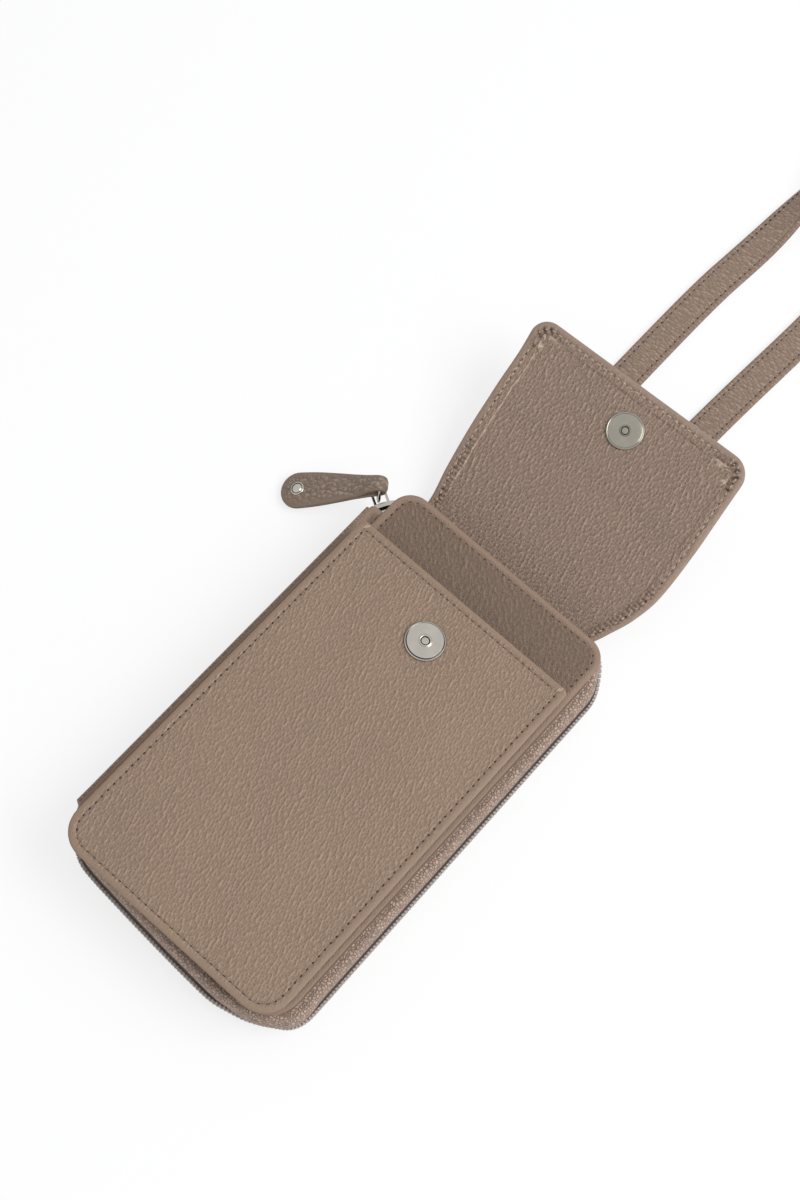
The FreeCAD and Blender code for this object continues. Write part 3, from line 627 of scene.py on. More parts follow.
def stitches(name, places, finish, body=None, size=THREAD_SIZE, hole_share=1.0):
    """Thread stitches and, between them, dark beads of painted shade at the needle holes; places
    are (point, heading, normal).

    Up the sides the thread dips into round holes, across the ends it slants out of longer ones.
    """
    hole = bead((hole_share, hole_share, hole_share * HOLE_DEEP), 8, 4)
    threads, holes = [], []
    for point, heading, normal in places:
        threads.append(set_in(point, heading, normal))
        up_side = abs(heading.y) > abs(heading.x)
        slant = Matrix.Rotation(0.0 if up_side else END_SLANT, 4, "Z")
        shape = Matrix.Diagonal(SIDE_HOLE if up_side else END_HOLE)
        between = point + heading * STITCH_PITCH / 2
        holes.append(set_in(between, heading, normal) @ slant @ shape)
    return [
        piece(name, copies(bead(size), threads), finish, body),
        # Painted shade at the needle holes.
        piece(name + "_hole_shade", copies(hole, holes), HOLE_SHADE, body),
    ]


# Strap: one smooth line from seam to seam, flat on the table, then on edge round its loop

STRAP_WIDE = 15.0
STRAP_LEFT, STRAP_RIGHT = -24.5, 15.5
TWIST_START, LOOP_START, LOOP_RADIUS = 304.0, 396.0, 85.0
STRAP_SEAM, SEAM_LEVEL = 5.2, 1.08
# (place along, level, left run's place across, right run's)
STRAP_RUNS = (
    (92, 2.8, -24.5, 15.5), (100, 2.8, -24.5, 15.5), (112, 2.6, -24.5, 15.5),
    (140, 1.6, -24.6, 15.5), (190, 1.55, -25.2, 15.6), (240, 1.55, -25.4, 17.2),
    (282, 1.55, -25.0, 19.8), (304, 1.65, -23.2, 20.8), (322, 2.6, -21.9, 21.0),
    (338, 4.6, -21.4, 20.8), (352, 6.4, -21.6, 20.0), (368, 7.5, -22.4, 18.6),
    (384, 7.6, -23.6, 16.6),
)
HALF_STRAP = [
    (7.22, 0.0), (7.5, 0.22), (7.5, 0.6), (7.3, 1.05), (6.8, 1.32), (6.3, 1.38), (5.7, 1.32),
    (5.45, 1.22), (STRAP_SEAM, SEAM_LEVEL), (4.95, 1.2), (4.4, 1.32), (3.0, 1.42), (0.0, 1.44),
]


def strap_route():
    """The strap's control points: its left run, the loop's turns by formula, its right run."""
    left = [(x, y, level) for y, level, x, _ in STRAP_RUNS]
    right = [(x, y, level) for y, level, _, x in reversed(STRAP_RUNS)]
    middle, half = (STRAP_LEFT + STRAP_RIGHT) / 2, (STRAP_RIGHT - STRAP_LEFT) / 2
    swing = math.acos((LOOP_RADIUS + half) / (2 * LOOP_RADIUS))
    hub = Vector((middle, LOOP_START + 2 * LOOP_RADIUS * math.sin(swing)))

    def turn(centre, first, last, count):
        angles = [first + (last - first) * k / (count - 1) for k in range(count)]
        level = STRAP_WIDE / 2 + 0.1
        return [
            (centre[0] + LOOP_RADIUS * math.cos(a), centre[1] + LOOP_RADIUS * math.sin(a), level)
            for a in angles
        ]

    entry = turn((middle - half - LOOP_RADIUS, LOOP_START), 0, swing, 5)
    crown = turn(hub, math.pi + swing, -swing, 22)
    leave = turn((middle + half + LOOP_RADIUS, LOOP_START), math.pi - swing, math.pi, 5)
    return left + entry + crown[1:-1] + leave + right


def smooth_line(name, points):
    """Points read from one NURBS spline with these control points."""
    curve = bpy.data.curves.new(name, "CURVE")
    curve.dimensions = "3D"
    spline = curve.splines.new("NURBS")
    spline.points.add(len(points) - 1)
    for point, place in zip(spline.points, points):
        point.co = (*place, 1.0)
    spline.order_u = 3
    spline.use_endpoint_u = True
    spline.resolution_u = 8
    holder = bpy.data.objects.new(name, curve)
    mesh = bpy.data.meshes.new_from_object(holder)
    line = [vert.co.copy() for vert in mesh.vertices]
    bpy.data.meshes.remove(mesh)
    bpy.data.objects.remove(holder)
    bpy.data.curves.remove(curve)
    return line


def strap_frame(place, heading):
    """The strap's width and face directions: flat near the pouch, on edge round the loop."""
    level = heading.cross(UP).normalized()
    upright = level.cross(heading).normalized()
    turn = math.pi / 2 * ease(TWIST_START, LOOP_START, place.y)
    across = level * math.cos(turn) + upright * math.sin(turn)
    return across, across.cross(heading).normalized()


def strap():
    line = smooth_line("strap_line", strap_route())
    stations = [(place, *strap_frame(place, heading)) for place, heading in spaced(line, 2.5)]
    top = HALF_STRAP + [(-x, z) for x, z in reversed(HALF_STRAP[:-1])]
    section = top + [(x, -z) for x, z in reversed(top[1:-1])]
    body = piece("strap", band(stations, section), STRAP_LEATHER, "case",
                 ("strap_left", "strap_right", "strap_loop"))
    places = []
    for place, heading in spaced(line, STITCH_PITCH):
        across, face = strap_frame(place, heading)
        for row in (-STRAP_SEAM, STRAP_SEAM):
            for side in (1, -1):
                spot = place + across * row + face * side * SEAM_LEVEL
                places.append((spot, heading, face * side))
    rows = stitches("strap_stitches", places, THREAD, "case")
    length = sum((b - a).length for a, b in zip(line, line[1:])) * MM


strap()


# Camera, floor and light

CAMERA_PLACE = Vector((118.68, -212.02, 811.52)) * MM
CAMERA_RIGHT = Vector((0.74983, 0.65513, 0.09252))
CAMERA_UP = Vector((-0.6395, 0.68175, 0.35532))
CAMERA_BACK = Vector((0.16971, -0.3256, 0.93015))
WHITE = (1.0, 1.0, 1.0, 1.0)
FLOOR_HALF, FLOOR_GLOW = 12000, 0.76
LIGHT_AIM, LIGHT_AWAY = Vector((0.0, 0.05, 0.0)), 1.6
LIGHT_SIZE, LIGHT_POWER, FILL_LIGHT = 1.0, 16.8, 0.6


def camera():
    lens = bpy.data.cameras.new("camera")
    lens.lens, lens.sensor_width = 61.9, 36.0
    view = bpy.data.objects.new("camera", lens)
    view.matrix_world = standing(CAMERA_PLACE, CAMERA_RIGHT, CAMERA_UP, CAMERA_BACK)
    bpy.context.scene.collection.objects.link(view)
    bpy.context.scene.camera = view


def seen_directly(tree):
    """1 for what the camera sees, straight, mirrored or through glass, else 0."""
    path = node(tree, "ShaderNodeLightPath", {})
    seen = maths(tree, "MAXIMUM", path["Is Camera Ray"], path["Is Glossy Ray"])
    return maths(tree, "MAXIMUM", seen, path["Is Transmission Ray"])


def floor():
    bm = bmesh.new()
    bmesh.ops.create_grid(bm, x_segments=1, y_segments=1, size=FLOOR_HALF)
    material = bpy.data.materials.new("floor")
    material.use_nodes = True
    tree = material.node_tree
    tree.nodes.clear()
    matte = node(tree, "ShaderNodeBsdfDiffuse", {"Color": (0.96, 0.96, 0.96, 1.0)})[0]
    glow = node(tree, "ShaderNodeEmission", {"Color": WHITE, "Strength": 1.0})[0]
    share = times(tree, seen_directly(tree), FLOOR_GLOW)
    both = node(tree, "ShaderNodeMixShader", {0: share, 1: matte, 2: glow})[0]
    node(tree, "ShaderNodeOutputMaterial", {"Surface": both})
    piece("floor", bm, material)


def softbox():
    towards = CAMERA_RIGHT * 0.62 + CAMERA_UP * 0.12 + CAMERA_BACK * 0.78
    lamp = bpy.data.lights.new("softbox", "AREA")
    lamp.shape, lamp.size, lamp.energy = "SQUARE", LIGHT_SIZE, LIGHT_POWER
    holder = bpy.data.objects.new("softbox", lamp)
    holder.location = LIGHT_AIM + towards.normalized() * LIGHT_AWAY
    holder.rotation_euler = (LIGHT_AIM - holder.location).to_track_quat("-Z", "Y").to_euler()
    bpy.context.scene.collection.objects.link(holder)


def studio():
    world = bpy.data.worlds.new("studio")
    bpy.context.scene.world = world
    world.use_nodes = True
    tree = world.node_tree
    tree.nodes.clear()
    cool = (0.97, 0.98, 1.0, 1.0)
    fill = node(tree, "ShaderNodeBackground", {"Color": cool, "Strength": FILL_LIGHT})[0]
    white = node(tree, "ShaderNodeBackground", {"Color": WHITE, "Strength": 1.0})[0]
    both = node(tree, "ShaderNodeMixShader", {0: seen_directly(tree), 1: fill, 2: white})[0]
    node(tree, "ShaderNodeOutputWorld", {"Surface": both})


camera()
floor()
softbox()
studio()
bpy.context.scene.view_settings.view_transform = "Standard"


# Covers, pocket and linings: flat panels with turned, stitched edges

TURNED_STEPS = (0.0, 0.12, 0.35, 0.7, 1.1, 1.6, 2.2, 2.8, 3.15, 3.4, 3.65, 4.0)
EDGE_STEPS = TURNED_STEPS + (4.6, 5.5, 7.0)


def round_off(depth, roll):
    """How far a round edge falls away at a depth."""
    if depth >= roll:
        return 0.0
    return roll - math.sqrt(max(roll * roll - (roll - depth) ** 2, 0.0))


def turned_edge(depth, roll, swell=0.3, groove=0.28):
    """Height of a turned edge: its roll, the full welt outside the stitches, and their groove."""
    welt = swell * bump(depth, STITCH_INSET * 0.5, 1.1)
    return welt - groove * bump(depth, STITCH_INSET, 0.4) - round_off(depth, roll)


def slack(x, y):
    """The slight unevenness of soft leather."""
    sag = 0.16 * math.sin(x * 0.083 + 1.7 * math.sin(y * 0.031))
    return sag + 0.12 * math.sin(y * 0.067 + x * 0.045 + 0.8)


def panel(name, stands_for, radii, material, body, trims=(0.0, 0.0, 0.0, 0.0), thinned=0.0,
          stitched=None, facing=1, roll=0.7, pitch=3.0, crown=0.0,
          place=flat):
    """A flat panel that stands for a node, its worked face up, or down where facing is -1.

    trims are what its left, lower, right and upper sides lose to the node's, thinned what its lower
    face does. stitched(x, y) says where its edge has stitches.
    """
    low, high = span(stands_for)
    left, below, right, above = trims
    outline = Outline((low.x + left, low.y + below), (high.x - right, high.y - above), radii)

    def worked(x, y, depth):
        swollen = crown * ease(4, 30, depth) + 0.6 * slack(x, y) * ease(3, 14, depth)
        return turned_edge(depth, roll) + swollen

    def plain(x, y, depth):
        return turned_edge(depth, roll, 0.0, 0.0)

    def upper(x, y, depth):
        return high.z + (worked if facing > 0 else plain)(x, y, depth)

    def lower(x, y, depth):
        return low.z + thinned - (plain if facing > 0 else worked)(x, y, depth)

    xs = grid_lines(outline.low[0], outline.high[0], EDGE_STEPS, pitch)
    ys = grid_lines(outline.low[1], outline.high[1], EDGE_STEPS, pitch)
    bm = sheet(outline, xs, ys, upper, lower, place)
    piece(name, bm, material, body, (stands_for,))
    if stitched:
        face = upper if facing > 0 else lower
        places = []
        for spot, heading in spaced(outline.line(STITCH_INSET), STITCH_PITCH):
            if stitched(spot.x, spot.y):
                point = place(spot.x, spot.y, face(spot.x, spot.y, STITCH_INSET))
                places.append((point, heading.to_3d(), UP * facing))
        stitches(name + "_stitches", places, THREAD, body)


def everywhere(x, y):
    return True


def pocket():
    panel("pocket_face", "pocket_front", (13.0, 13.0, 2.5, 2.5), POCKET_LEATHER, "leaf",
          stitched=everywhere, crown=0.5)
    low, high = span("pocket_front")
    mouth = high.y
    tacks = []
    for x in (low.x + STITCH_INSET, high.x - STITCH_INSET):
        for step in (-0.5, 0.3):
            spot = Vector((x + step, mouth - STITCH_INSET + 1.6 + step, high.z + 0.22))
            tacks.append(set_in(spot, Vector((0.2, 0.98, 0.0)), UP))
    piece("mouth_tacks", copies(bead(TACK_SIZE), tacks), PALE_THREAD, "leaf")
    panel("pocket_rear_face", "pocket_back", (14.0, 14.0, 10.0, 10.0), COVER_LEATHER, "leaf",
          stitched=lambda x, y: y > mouth - 4)


def pocket_side():
    """The strip round the pocket's sides and lower end, between its two faces."""
    low, high = span("pocket_wall")
    wall = 0.7
    edge = Outline(low, high, (10.0, 10.0, 0.3, 0.3)).line(wall)
    lower_corners = [p for p in edge if p.y < low.y + 20]
    line = [Vector((low.x + wall, high.y)), *lower_corners, Vector((high.x - wall, high.y))]
    stations = [(p.to_3d(), Vector((h.y, -h.x, 0)), UP) for p, h in spaced(line, 2.0)]
    tall = high.z - low.z
    section = [
        (-0.6, low.z), (0.5, low.z), (0.9, low.z + tall * 0.3), (0.9, low.z + tall * 0.7),
        (0.5, high.z), (-0.6, high.z),
    ]
    piece("pocket_side", band(stations, section), PULL_LEATHER, "leaf",
          ("pocket_wall",))


def covers():
    panel("rear_face", "rear_cover", (26.0, 20.0, 18.0, 18.0), COVER_LEATHER, "case",
          trims=(0.0, 4.6, 1.8, 1.8), thinned=0.5, stitched=everywhere, facing=-1, place=along_zip)
    panel("front_face", "front_cover", (14.0, 14.0, 14.0, 2.0), COVER_LEATHER, "leaf",
          trims=(0.0, 6.0, 6.0, 14.0))
    linings = (
        ("rear_lining", "case", 12.0, 1), ("front_lining", "leaf", 10.0, -1),
        ("pocket_lining", "leaf", 10.0, -1),
    )
    for lining, body, corner, facing in linings:
        panel(lining + "_cloth", lining, (corner,) * 4, LINING_CLOTH, body, facing=facing, roll=0.3,
              pitch=6.0)


def seam_welt():
    panel("seam_strip", "seam_welt", (1.0,) * 4, COVER_LEATHER, "case", pitch=6.0)


# Zip: gussets, tapes and two rows of meshed teeth, round three sides of the case

ZIP = Outline(*span("rear_zip_teeth"), (20.0,) * 4)
CHAIN_FOOT, CHAIN_INSET = 9.6, 0.85
TOOTH_PITCH, TOOTH_SIZE = 1.7, (0.8, 1.4, 1.5, 1.0)
REAR_TEETH, FRONT_TEETH = 12.5, 13.5
CHAIN_STOP, GUSSET_STOP = 137, 125
TOP_SIDE, TOP_CORNER = 100, 84
LOWER_RUN = (
    (-62, 3.0), (-57, 2.9), (-52, 2.5), (-46, 1.5), (-36, 0.3), (-25, -0.6), (-17, -1.2), (2, -2.4),
    (17, -3.1), (28, -3.2), (37, -1.4), (52, 2.2), (62, 0.0),
)
FRONT_GUSSET = [
    (-9.5, 24.6), (-8.4, 24.0), (-7.4, 23.1), (-6.5, 22.9), (-5.2, 23.5), (-3.8, 23.2),
    (-2.9, 22.0), (-2.25, 20.2), (-2.0, 17.6), (-2.05, 14.9), (-2.7, 14.9), (-2.9, 17.6),
    (-3.2, 19.8), (-3.9, 21.3), (-4.9, 22.2), (-6.4, 21.8), (-8.0, 22.4), (-9.5, 23.1),
]
REAR_GUSSET = [
    (-3.8, 0.9), (-3.1, 1.2), (-2.4, 2.8), (-2.0, 5.0), (-1.8, 7.4), (-1.7, CHAIN_FOOT),
    (-2.5, CHAIN_FOOT), (-2.8, 7.4), (-3.2, 5.0), (-3.7, 2.8), (-4.4, 1.4),
]
ABOVE_SEAM = [(-1.8, 7.3), (-1.7, CHAIN_FOOT), (-2.5, CHAIN_FOOT), (-2.8, 7.3)]
TAPE = [(-2.6, 0.0), (-1.8, 0.0), (-1.8, 2.8), (-1.4, 3.0), (-1.4, 3.9), (-2.6, 3.9)]


def zip_lean(x, y):
    """How far the zip's line is moved up: its lower run bows out, its top right corner is full."""
    lower = along(LOWER_RUN, x) * (1 - ease(-100, -84, y))
    return lower + 3.2 * bump(x, 52, 5) * ease(84, 98, y)


def along_zip(x, y, height):
    """A point of the rear face, drawn in or out with the zip's line."""
    return Vector((x, y + zip_lean(x, y), height))


def zip_stations(pitch, keep, shift=0.0, swell=0.0, tuck=0.0):
    """(place, outwards, up) along the zip, from the spine's lower end to its upper end.

    swell is how far the lower right corner stands out, tuck how far the lower end leans in below
    the chain, and shift how far up the spine the line starts.
    """
    stations = []
    line = [p.to_3d() for p in ZIP.line(0.0)[:-1]]
    for place, heading in spaced([line[0] + Vector((0, shift, 0))] + line[1:], pitch):
        if keep(place.x, place.y):
            out = Vector((heading.y, -heading.x, 0))
            lean = Vector((0, zip_lean(place.x, place.y), 0))
            corner = swell * bump(place.x, 50, 14) * (1 - ease(-98, -74, place.y))
            leant = out * tuck * (1 - ease(-98, -70, place.y))
            foot = place + lean + out * corner - leant * CHAIN_FOOT
            stations.append((foot, out, UP + leant))
    return stations


def past_slider(x, y, stop=CHAIN_STOP):
    """Whether a point of the zip is clear of the slider, parked beyond a turn of its corner."""
    centre, _ = ZIP.arc(3)
    if x >= centre.x or y <= centre.y:
        return True
    return math.atan2(y - centre.y, x - centre.x) <= math.radians(stop)


def past_slider_body(x, y):
    return past_slider(x, y, GUSSET_STOP)


def tooth_shape():
    bm = bmesh.new()
    bmesh.ops.create_cube(bm, size=1.0, matrix=Matrix.Diagonal(TOOTH_SIZE))
    bmesh.ops.bevel(bm, geom=bm.edges[:], offset=0.2, segments=1, profile=0.5, affect="EDGES",
                    material=-1)
    return bm


def gussets():
    seam_low, seam_high = span("flap_root")
    seam_left, seam_right = seam_low.x - 0.6, seam_high.x + 0.6
    front = band(zip_stations(1.6, past_slider_body, swell=2.2), FRONT_GUSSET)
    piece("front_side", front, GUSSET_LEATHER, "leaf", ("front_gusset",))
    runs = (
        ("rear_side", REAR_GUSSET, lambda x, y: not (y > TOP_SIDE and x < seam_right)),
        ("rear_side_top", ABOVE_SEAM,
         lambda x, y: y > TOP_SIDE and seam_left <= x < seam_right + 2),
        ("rear_side_left", REAR_GUSSET, lambda x, y: y > TOP_CORNER and x < seam_left),
    )
    for name, section, keep in runs:
        rear = band(zip_stations(2.2, keep, shift=8.0, tuck=0.4), section)
        piece(name, rear, GUSSET_LEATHER, "case", ("rear_gusset",))


def zip_rows():
    rear_edge, front_edge = span("rear_zip_tape")[0].z - 0.5, span("front_zip_tape")[1].z + 0.5
    rows = (
        ("rear", "case", everywhere, REAR_TEETH, 0.0, rear_edge, 1),
        ("front", "leaf", past_slider, FRONT_TEETH, TOOTH_PITCH / 2, front_edge, -1),
    )
    for side, body, keep, level, shift, sewn_edge, way in rows:
        strip = [(out, sewn_edge + way * across) for out, across in TAPE]
        piece(side + "_tape", band(zip_stations(2.2, keep), strip), TAPE_CLOTH, body,
              (side + "_zip_tape",))
        matrices = []
        for place, out, up in zip_stations(TOOTH_PITCH, keep, shift):
            spot = place - out * CHAIN_INSET + up * level
            matrices.append(set_in(spot, Vector((-out.y, out.x, 0)), up))
        piece(side + "_teeth", copies(tooth_shape(), matrices), TEETH_PLASTIC, body,
              (side + "_zip_teeth",), sharp=30)


# Spine

SPINE_STEPS, SPINE_OVERRUN, SPINE_TALL = 120, 1.5, 25
END_DROP, END_REACH = 0.16, 7
SPINE_SECTION = [
    (0.0, 0.7), (0.6, 0.15), (1.1, 0.5), (1.5, 1.6), (2.0, 6), (2.3, 12), (2.5, 18), (2.5, 22.0),
    (2.2, 23.6), (1.6, 24.6), (0.8, 24.9), (0.0, 24.4),
]


def spine():
    """A strip that bulges to the left, its upper corners rounded off at both ends."""
    low, high = span("spine")
    first, last = low.y - SPINE_OVERRUN, high.y + SPINE_OVERRUN
    stations = []
    for k in range(SPINE_STEPS + 1):
        y = first + k * (last - first) / SPINE_STEPS
        rounding = END_DROP * (2 - ease(0, END_REACH, y - first) - ease(0, END_REACH, last - y))
        foot = Vector((high.x + 0.2, y, SPINE_TALL * rounding))
        stations.append((foot, Vector((-1, 0, 0)), UP * (1 - rounding)))
    piece("spine_strip", band(stations, SPINE_SECTION), STRAP_LEATHER, "case",
          ("spine",))


covers()
pocket()
pocket_side()
gussets()
zip_rows()
spine()
seam_welt()


# Flap: one sheet cut in three lengths, bent up at its first fold

FOLD = joint_place("flap_fold")
NECK_FOLD = (joint_place("shoulder_fold") - FOLD).length
MOUTH_FOLD = (joint_place("mouth_fold") - FOLD).length
FLAP_TILT = math.radians(20)
FOLD_EASE, BEND_REACH = 6.0, 8.0
FLAP_HALF, FLAP_END = 55.0, 103.0
FLAP = Outline((-FLAP_HALF, -300.0), (FLAP_HALF, FLAP_END), (1.0, 1.0, 9.0, 9.0))
HEM, CORNER = 6.5, 10.0
ACROSS_PITCH, FACE_PITCH, FOLD_PITCH = 2.4, 0.9, 0.42
FIRST_STITCH = 2
INNER_SEWING = {"finish": PALE_THREAD, "size": (1.9, 0.62, 0.62), "hole_share": 0.62}
OUTER_SEWING = {"finish": THREAD}
LEFT_EDGE = (
    (-17, -49), (3, -48.6), (10, -49.4), (22, -52.4), (45, -56.6), (65, -59.0), (85, -61.0),
    (104, -64.4),
)
RIGHT_EDGE = (
    (-17, 43), (3, 43.4), (10, 46.0), (22, 50.6), (36, 53.2), (59, 52.4), (81, 50.2), (104, 47.9),
)
HEM_STEPS = (4.5, 5.0, 5.5, 6.0, 6.25, 6.5, 6.75, 7.1, 7.7, 8.6, 10.0, 12.0)
FLAP_EDGE_STEPS = TURNED_STEPS + HEM_STEPS


def flap_place(x, s, height):
    """A point of the flap: its place across, s along from the fold, its height off the middle."""
    left, right = along(LEFT_EDGE, s), along(RIGHT_EDGE, s)
    s += (2.6 * x / FLAP_HALF - 1.8) * ease(45, 100, s)
    if s < -FOLD_EASE:
        run, rise, angle = s, 0.0, 0.0
    elif s > FOLD_EASE:
        run, rise, angle = s * math.cos(FLAP_TILT), s * math.sin(FLAP_TILT), FLAP_TILT
    else:
        angle = FLAP_TILT * (s + FOLD_EASE) / (2 * FOLD_EASE)
        radius = FOLD_EASE / math.tan(FLAP_TILT / 2)
        run, rise = radius * math.sin(angle) - FOLD_EASE, radius * (1 - math.cos(angle))
    share = (x + FLAP_HALF) / (2 * FLAP_HALF)
    return Vector((
        left + (right - left) * share,
        FOLD.y + run - math.sin(angle) * height,
        FOLD.z + rise + math.cos(angle) * height,
    ))


def corner_pleats(x, s):
    """How near a point is to a far corner, and the wave of the pleats that fan out round it."""
    across, up = abs(x) - (FLAP_HALF - CORNER), s - (FLAP_END - CORNER)
    near = ease(-CORNER, -2.0, across) * ease(-CORNER, -2.0, up)
    return near, math.sin(38 * math.atan2(up + 8.0, across + 8.0))


def hem_width(x, s):
    """Width of the turned hem, its edge cut in a zigzag round the corners."""
    near, wave = corner_pleats(x, s)
    return HEM + 0.8 * near * wave + 0.18 * math.sin(s * 0.4 + 0.2 * x)


def crimps(s):
    """The small folds of the hem where it turns into the neck: their strength and their wave."""
    return ease(2, 10, s) * (1 - ease(34, 50, s)), math.sin(s * 3.1 + 1.2 * math.sin(s * 0.7))


def flap_inner(x, s, depth):
    """Height of the flap's inner face: a turned hem with crimps and pleats round a lower facing."""
    near, wave = corner_pleats(x, s)
    hem = hem_width(x, s)
    in_hem = 1 - ease(hem - 0.25, hem + 0.25, depth)
    height = 1.3 + 0.6 * ease(MOUTH_FOLD - 4, MOUTH_FOLD + 4, s)
    height += 0.36 * in_hem - 0.16 * bump(depth, hem + 0.5, 0.5)
    height += 0.2 * bump(depth, 1.9, 1.2) - 0.25 * bump(depth, STITCH_INSET, 0.4)
    height += (0.55 if x < 0 else 0.8) * near * wave * in_hem * ease(1.2, 3.4, depth)
    crimp, fold = crimps(s)
    height += 0.3 * crimp * fold * in_hem * ease(1.0, 4.0, depth)
    height += 0.2 * slack(x, s * 1.3) * ease(HEM, 20, depth)
    return height - round_off(depth, 1.5)


def flap_outer(x, s, depth):
    """Height of the flap's outer face, which shows when it is closed."""
    height = -1.3 - 0.15 * bump(depth, 1.9, 1.2) + 0.22 * bump(depth, STITCH_INSET, 0.4)
    return height + round_off(depth, 1.2) + 0.3 * slack(x, s) * ease(HEM, 20, depth)


def hem_cuts_and_painted_shading(x, s, depth):
    """The hem's cream cut edge round the corners and down the left side, shown on the left only
    where light catches it, as painted light; below 0 painted shade in its creases.
    """
    near, wave = corner_pleats(x, s)
    crimp, fold = crimps(s)
    # The cut edge shows only down the left side: painted light where light catches it.
    left = ease(-FLAP_HALF + 14, -FLAP_HALF + 9, x) * ease(10, 22, s) * (1 - near)
    left *= 0.75 + 0.25 * math.sin(s * 0.9)
    cut = bump(depth, hem_width(x, s) + 0.1, 0.24 + 0.25 * near) * max(left, near)
    # Painted shade in the pleat and crimp creases.
    crease_shade = max(0.8 * near * max(-wave, 0.0), 0.62 * crimp * max(-fold, 0.0))
    crease_shade *= ease(1.4, 3.0, depth) * (1 - ease(HEM - 0.8, HEM - 0.2, depth))
    return cut - crease_shade


def flap_stitches(name, side, skin, low, high, sewing):
    """The stitches of one length of the flap, on its inner side (1) or its outer side (-1)."""
    normal = Vector((0, -math.sin(FLAP_TILT), math.cos(FLAP_TILT))) * side
    places = []
    for place, heading in spaced(FLAP.line(STITCH_INSET), STITCH_PITCH):
        if max(low, FIRST_STITCH) <= place.y < high:
            height = skin(place.x, place.y, STITCH_INSET) - 0.02 * side
            spot = flap_place(place.x, place.y, height)
            ahead = flap_place(place.x + heading.x, place.y + heading.y, height)
            places.append((spot, (ahead - spot).normalized(), normal))
    return stitches(name, places, **sewing)


def flap():
    xs = grid_lines(-FLAP_HALF, FLAP_HALF, FLAP_EDGE_STEPS, ACROSS_PITCH)
    seam = span("flap_root")[0].y - FOLD.y
    cuts = (seam, NECK_FOLD / 2, (NECK_FOLD + MOUTH_FOLD) / 2, FLAP_END)
    parts = (
        ("flap_seam_end", "case", "neck", 0.0, ("flap_root", "flap_neck")),
        ("flap_shoulder", "neck", "bridge", NECK_FOLD, ("flap_bridge",)),
        ("flap_face", "bridge", "panel", MOUTH_FOLD, ("flap_panel", "flap_facing")),
    )
    for (name, near_body, far_body, fold, nodes), low, high in zip(parts, cuts, cuts[1:]):
        if high == FLAP_END:
            ys = even(low, high - FLAP_EDGE_STEPS[-1], FACE_PITCH)[:-1]
            ys += [high - step for step in reversed(FLAP_EDGE_STEPS)]
        else:
            ys = even(low, high, FOLD_PITCH)
        bm = sheet(FLAP, xs, ys, flap_inner, flap_outer, flap_place, hem_cuts_and_painted_shading)
        made = [piece(name, bm, FLAP_LEATHER, None, nodes)]
        inner, outer = name + "_inner_stitches", name + "_outer_stitches"
        made += flap_stitches(inner, 1, flap_inner, low, high, INNER_SEWING)
        made += flap_stitches(outer, -1, flap_outer, low, high, OUTER_SEWING)
        start, end = flap_place(0, fold - BEND_REACH, 0), flap_place(0, fold + BEND_REACH, 0)
        start.x = end.x = FOLD.x
        for obj in made:
            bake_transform(obj)


flap()


# Snaps: a socket on the pocket, a stud on the flap

STUD_LIFT, STUD_FOOT = 0.3, -1.4
# In these profiles a third number paints shade into a recess.
SOCKET_MIDDLE = (
    (0.0, -0.5), (1.2, -0.5), (1.5, -0.55), (1.62, -1.0, 1.0), (1.85, -1.0, 1.0), (1.95, -0.2),
    (2.15, 0.0), (2.45, -0.02), (2.65, -0.25, 0.5), (2.85, -0.32), (3.4, -0.3),
)
SOCKET_RIM = (
    (2.2, -0.12), (1.5, -0.15), (1.1, -0.2), (0.95, -0.55, 0.9), (0.75, -0.5, 0.5), (0.5, -0.22),
    (0.15, -0.45), (0.0, -0.9), (0.1, -1.4),
)
STUD_MIDDLE = (
    (0.0, 0.3), (1.2, 0.3), (1.4, 0.26), (1.5, -0.1, 1.0), (1.75, -0.1, 1.0), (1.82, 0.5),
    (2.0, 0.66), (2.25, 0.62), (2.4, 0.3, 0.5), (2.7, 0.32), (4.5, 0.34),
)
STUD_RIM = (
    (1.0, 0.36), (0.8, 0.26, 0.6), (0.62, 0.46), (0.3, 0.5), (0.1, 0.36), (0.0, 0.05), (0.05, -0.4),
)


def snap_half(middle, rim, radius, level, foot, foot_inset):
    """A snap half: its middle, then its rim by distance in from a radius, and its flat foot."""
    profile = [(r, level + z, *mark) for r, z, *mark in middle]
    profile += [(radius - inset, level + z, *mark) for inset, z, *mark in rim]
    return lathe(profile + [(radius - foot_inset, foot), (0.0, foot)])


def snaps():
    low, high = span("pocket_snap")
    place = Matrix.Translation(((low.x + high.x) / 2, (low.y + high.y) / 2, low.z))
    half = snap_half(SOCKET_MIDDLE, SOCKET_RIM, (high.x - low.x) / 2, high.z - low.z, -0.2, 0.6)
    piece("pocket_socket", moved(half, place), NICKEL, "leaf", ("pocket_snap",), sharp=50)
    low, high = span("flap_snap")
    tilt = Matrix.Rotation(FLAP_TILT, 4, "X") @ Matrix.Translation((0, 0, STUD_LIFT))
    place = Matrix.Translation((low + high) / 2) @ tilt
    half = snap_half(STUD_MIDDLE, STUD_RIM, (high.x - low.x) / 2, 0.0, STUD_FOOT, 0.5)
    piece("flap_stud", moved(half, place), SHADED_STUD_NICKEL, "panel", ("flap_snap",), sharp=50)


snaps()


# Zip pull: a leather tongue folded round its ring and riveted

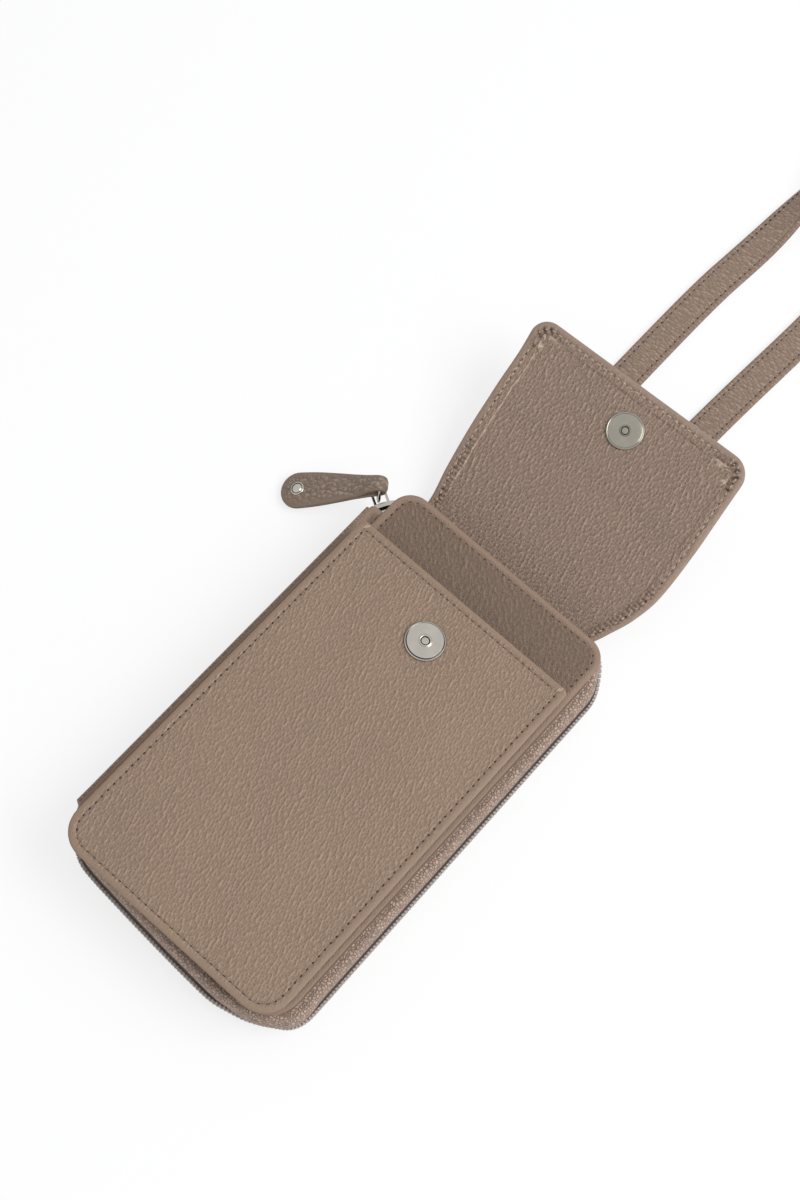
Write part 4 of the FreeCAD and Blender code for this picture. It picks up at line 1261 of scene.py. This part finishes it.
PULL_EYE = joint_place("pull_lift")
PULL_ACROSS = Vector(JOINTS["pull_lift"]["axis"]).normalized()
PULL_DROP = math.radians(25)
PULL_SIDE = Matrix.Rotation(math.radians(-6), 3, "Z") @ PULL_ACROSS
PULL_LEVEL = Vector((-PULL_SIDE.y, PULL_SIDE.x, 0))
PULL_ALONG = PULL_LEVEL * math.cos(PULL_DROP) - Vector((0, 0, math.sin(PULL_DROP)))
PULL_UP = PULL_SIDE.cross(PULL_ALONG)
PULL_LONG, PULL_HALF, PULL_CORNER = 45.0, 8.2, 8.1
LAYER, ROLL = 1.5, 2.35
PULL_STEPS = (0.0, 0.15, 0.4, 0.75, 1.2, 1.8, 2.6)
PULL_END_STEPS = PULL_STEPS + (3.6, 5.0, 6.5, 8.1)
PULL_WIDTH = ((-3, 0.42), (4, 0.5), (10, 0.64), (18, 0.79), (28, 0.94), (37, 1.0), (46, 1.0))
# A third number paints shade into a recess of the rivet.
RIVET_DOME = [
    (0.0, 3.3), (0.8, 3.22), (1.5, 2.95), (2.05, 2.55), (2.25, 2.2, 0.9), (2.4, 2.2, 0.9),
    (2.5, 2.45), (2.8, 2.45), (3.05, 2.2), (3.1, 1.8, 0.5), (2.9, 1.4, 0.8),
]
RING_WIRE = 0.65


def pull_frame(y, z, x=0.0):
    return PULL_EYE + PULL_SIDE * x + PULL_ALONG * y + PULL_UP * z


def fold_line():
    """(along, up) points of the pull's middle layer: over the top, round the ring, back below."""
    half = LAYER / 2
    top = []
    for k in range(int(PULL_LONG * 2) + 1):
        y = PULL_LONG - k * 0.5
        top.append((y, half + 0.03 + (ROLL - half) * (1 - ease(0.5, 13, y))))
    turns = [math.radians(angle) for angle in range(10, 180, 10)]
    nose = [(-ROLL * math.sin(turn), ROLL * math.cos(turn)) for turn in turns]
    return [Vector(p) for p in top + nose + [(y, -z) for y, z in reversed(top)]]


def pull_tongue():
    line = fold_line()
    reach = [0.0]
    for start, end in zip(line, line[1:]):
        reach.append(reach[-1] + (end - start).length)
    whole = reach[-1]

    def place(x, p, height):
        index = min(max(i for i, run in enumerate(reach) if run <= p + 1e-9), len(line) - 2)
        share = (p - reach[index]) / (reach[index + 1] - reach[index])
        ahead = (line[min(index + 2, len(line) - 1)] - line[max(index - 1, 0)]).normalized()
        out = Vector((ahead.y, -ahead.x))
        spot = line[index].lerp(line[index + 1], share) + out * height
        return pull_frame(spot.x, spot.y, x * along(PULL_WIDTH, min(max(spot.x, -2.9), 45.9)))

    def outer(x, y, depth):
        return LAYER / 2 + 0.5 * ease(0.5, 5.0, depth) - round_off(depth, 1.15)

    def inner(x, y, depth):
        return -LAYER / 2 + 0.3 * (1 - ease(0.0, 0.5, depth))

    outline = Outline((-PULL_HALF, 0.0), (PULL_HALF, whole), (PULL_CORNER,) * 4)
    xs = grid_lines(-PULL_HALF, PULL_HALF, PULL_STEPS, 1.0)
    ys = grid_lines(0.0, whole, PULL_END_STEPS, 0.9)
    piece("pull_tongue", sheet(outline, xs, ys, outer, inner, place), PULL_LEATHER, "pull",
          ("zip_pull",))


def rivet():
    low, high = span("pull_rivet")
    spot = ((low + high) / 2 - PULL_EYE).dot(PULL_ALONG)
    profile = RIVET_DOME + [(r, -z, *mark) for r, z, *mark in reversed(RIVET_DOME)]
    lay = standing(pull_frame(spot, 0.0), PULL_SIDE, PULL_ALONG, PULL_UP)
    bm = moved(lathe(profile, 48), lay)
    piece("rivet", bm, NICKEL, "pull", ("pull_rivet",), sharp=50)


def ring():
    low, high = span("pull_ring")
    radius = (high.z - low.z) / 2 - RING_WIRE
    turns = [math.radians(angle) for angle in range(0, 361, 30)]
    section = [(radius + RING_WIRE * math.cos(turn), RING_WIRE * math.sin(turn)) for turn in turns]
    stand = standing((low + high) / 2, PULL_ACROSS, UP, PULL_ACROSS.cross(UP))
    piece("ring", moved(lathe(section, 64), stand), NICKEL, "ring", ("pull_ring",))


pull_tongue()
rivet()
ring()


# Finishes of the pieces that show as they come from the frame

for name, finish in (
    ("zip_slider", NICKEL), ("pocket_snap_washer", STEEL), ("flap_snap_washer", STEEL),
):
    shown = frame["nodes"][name]
    shown.data.materials.clear()
    shown.data.materials.append(finish)
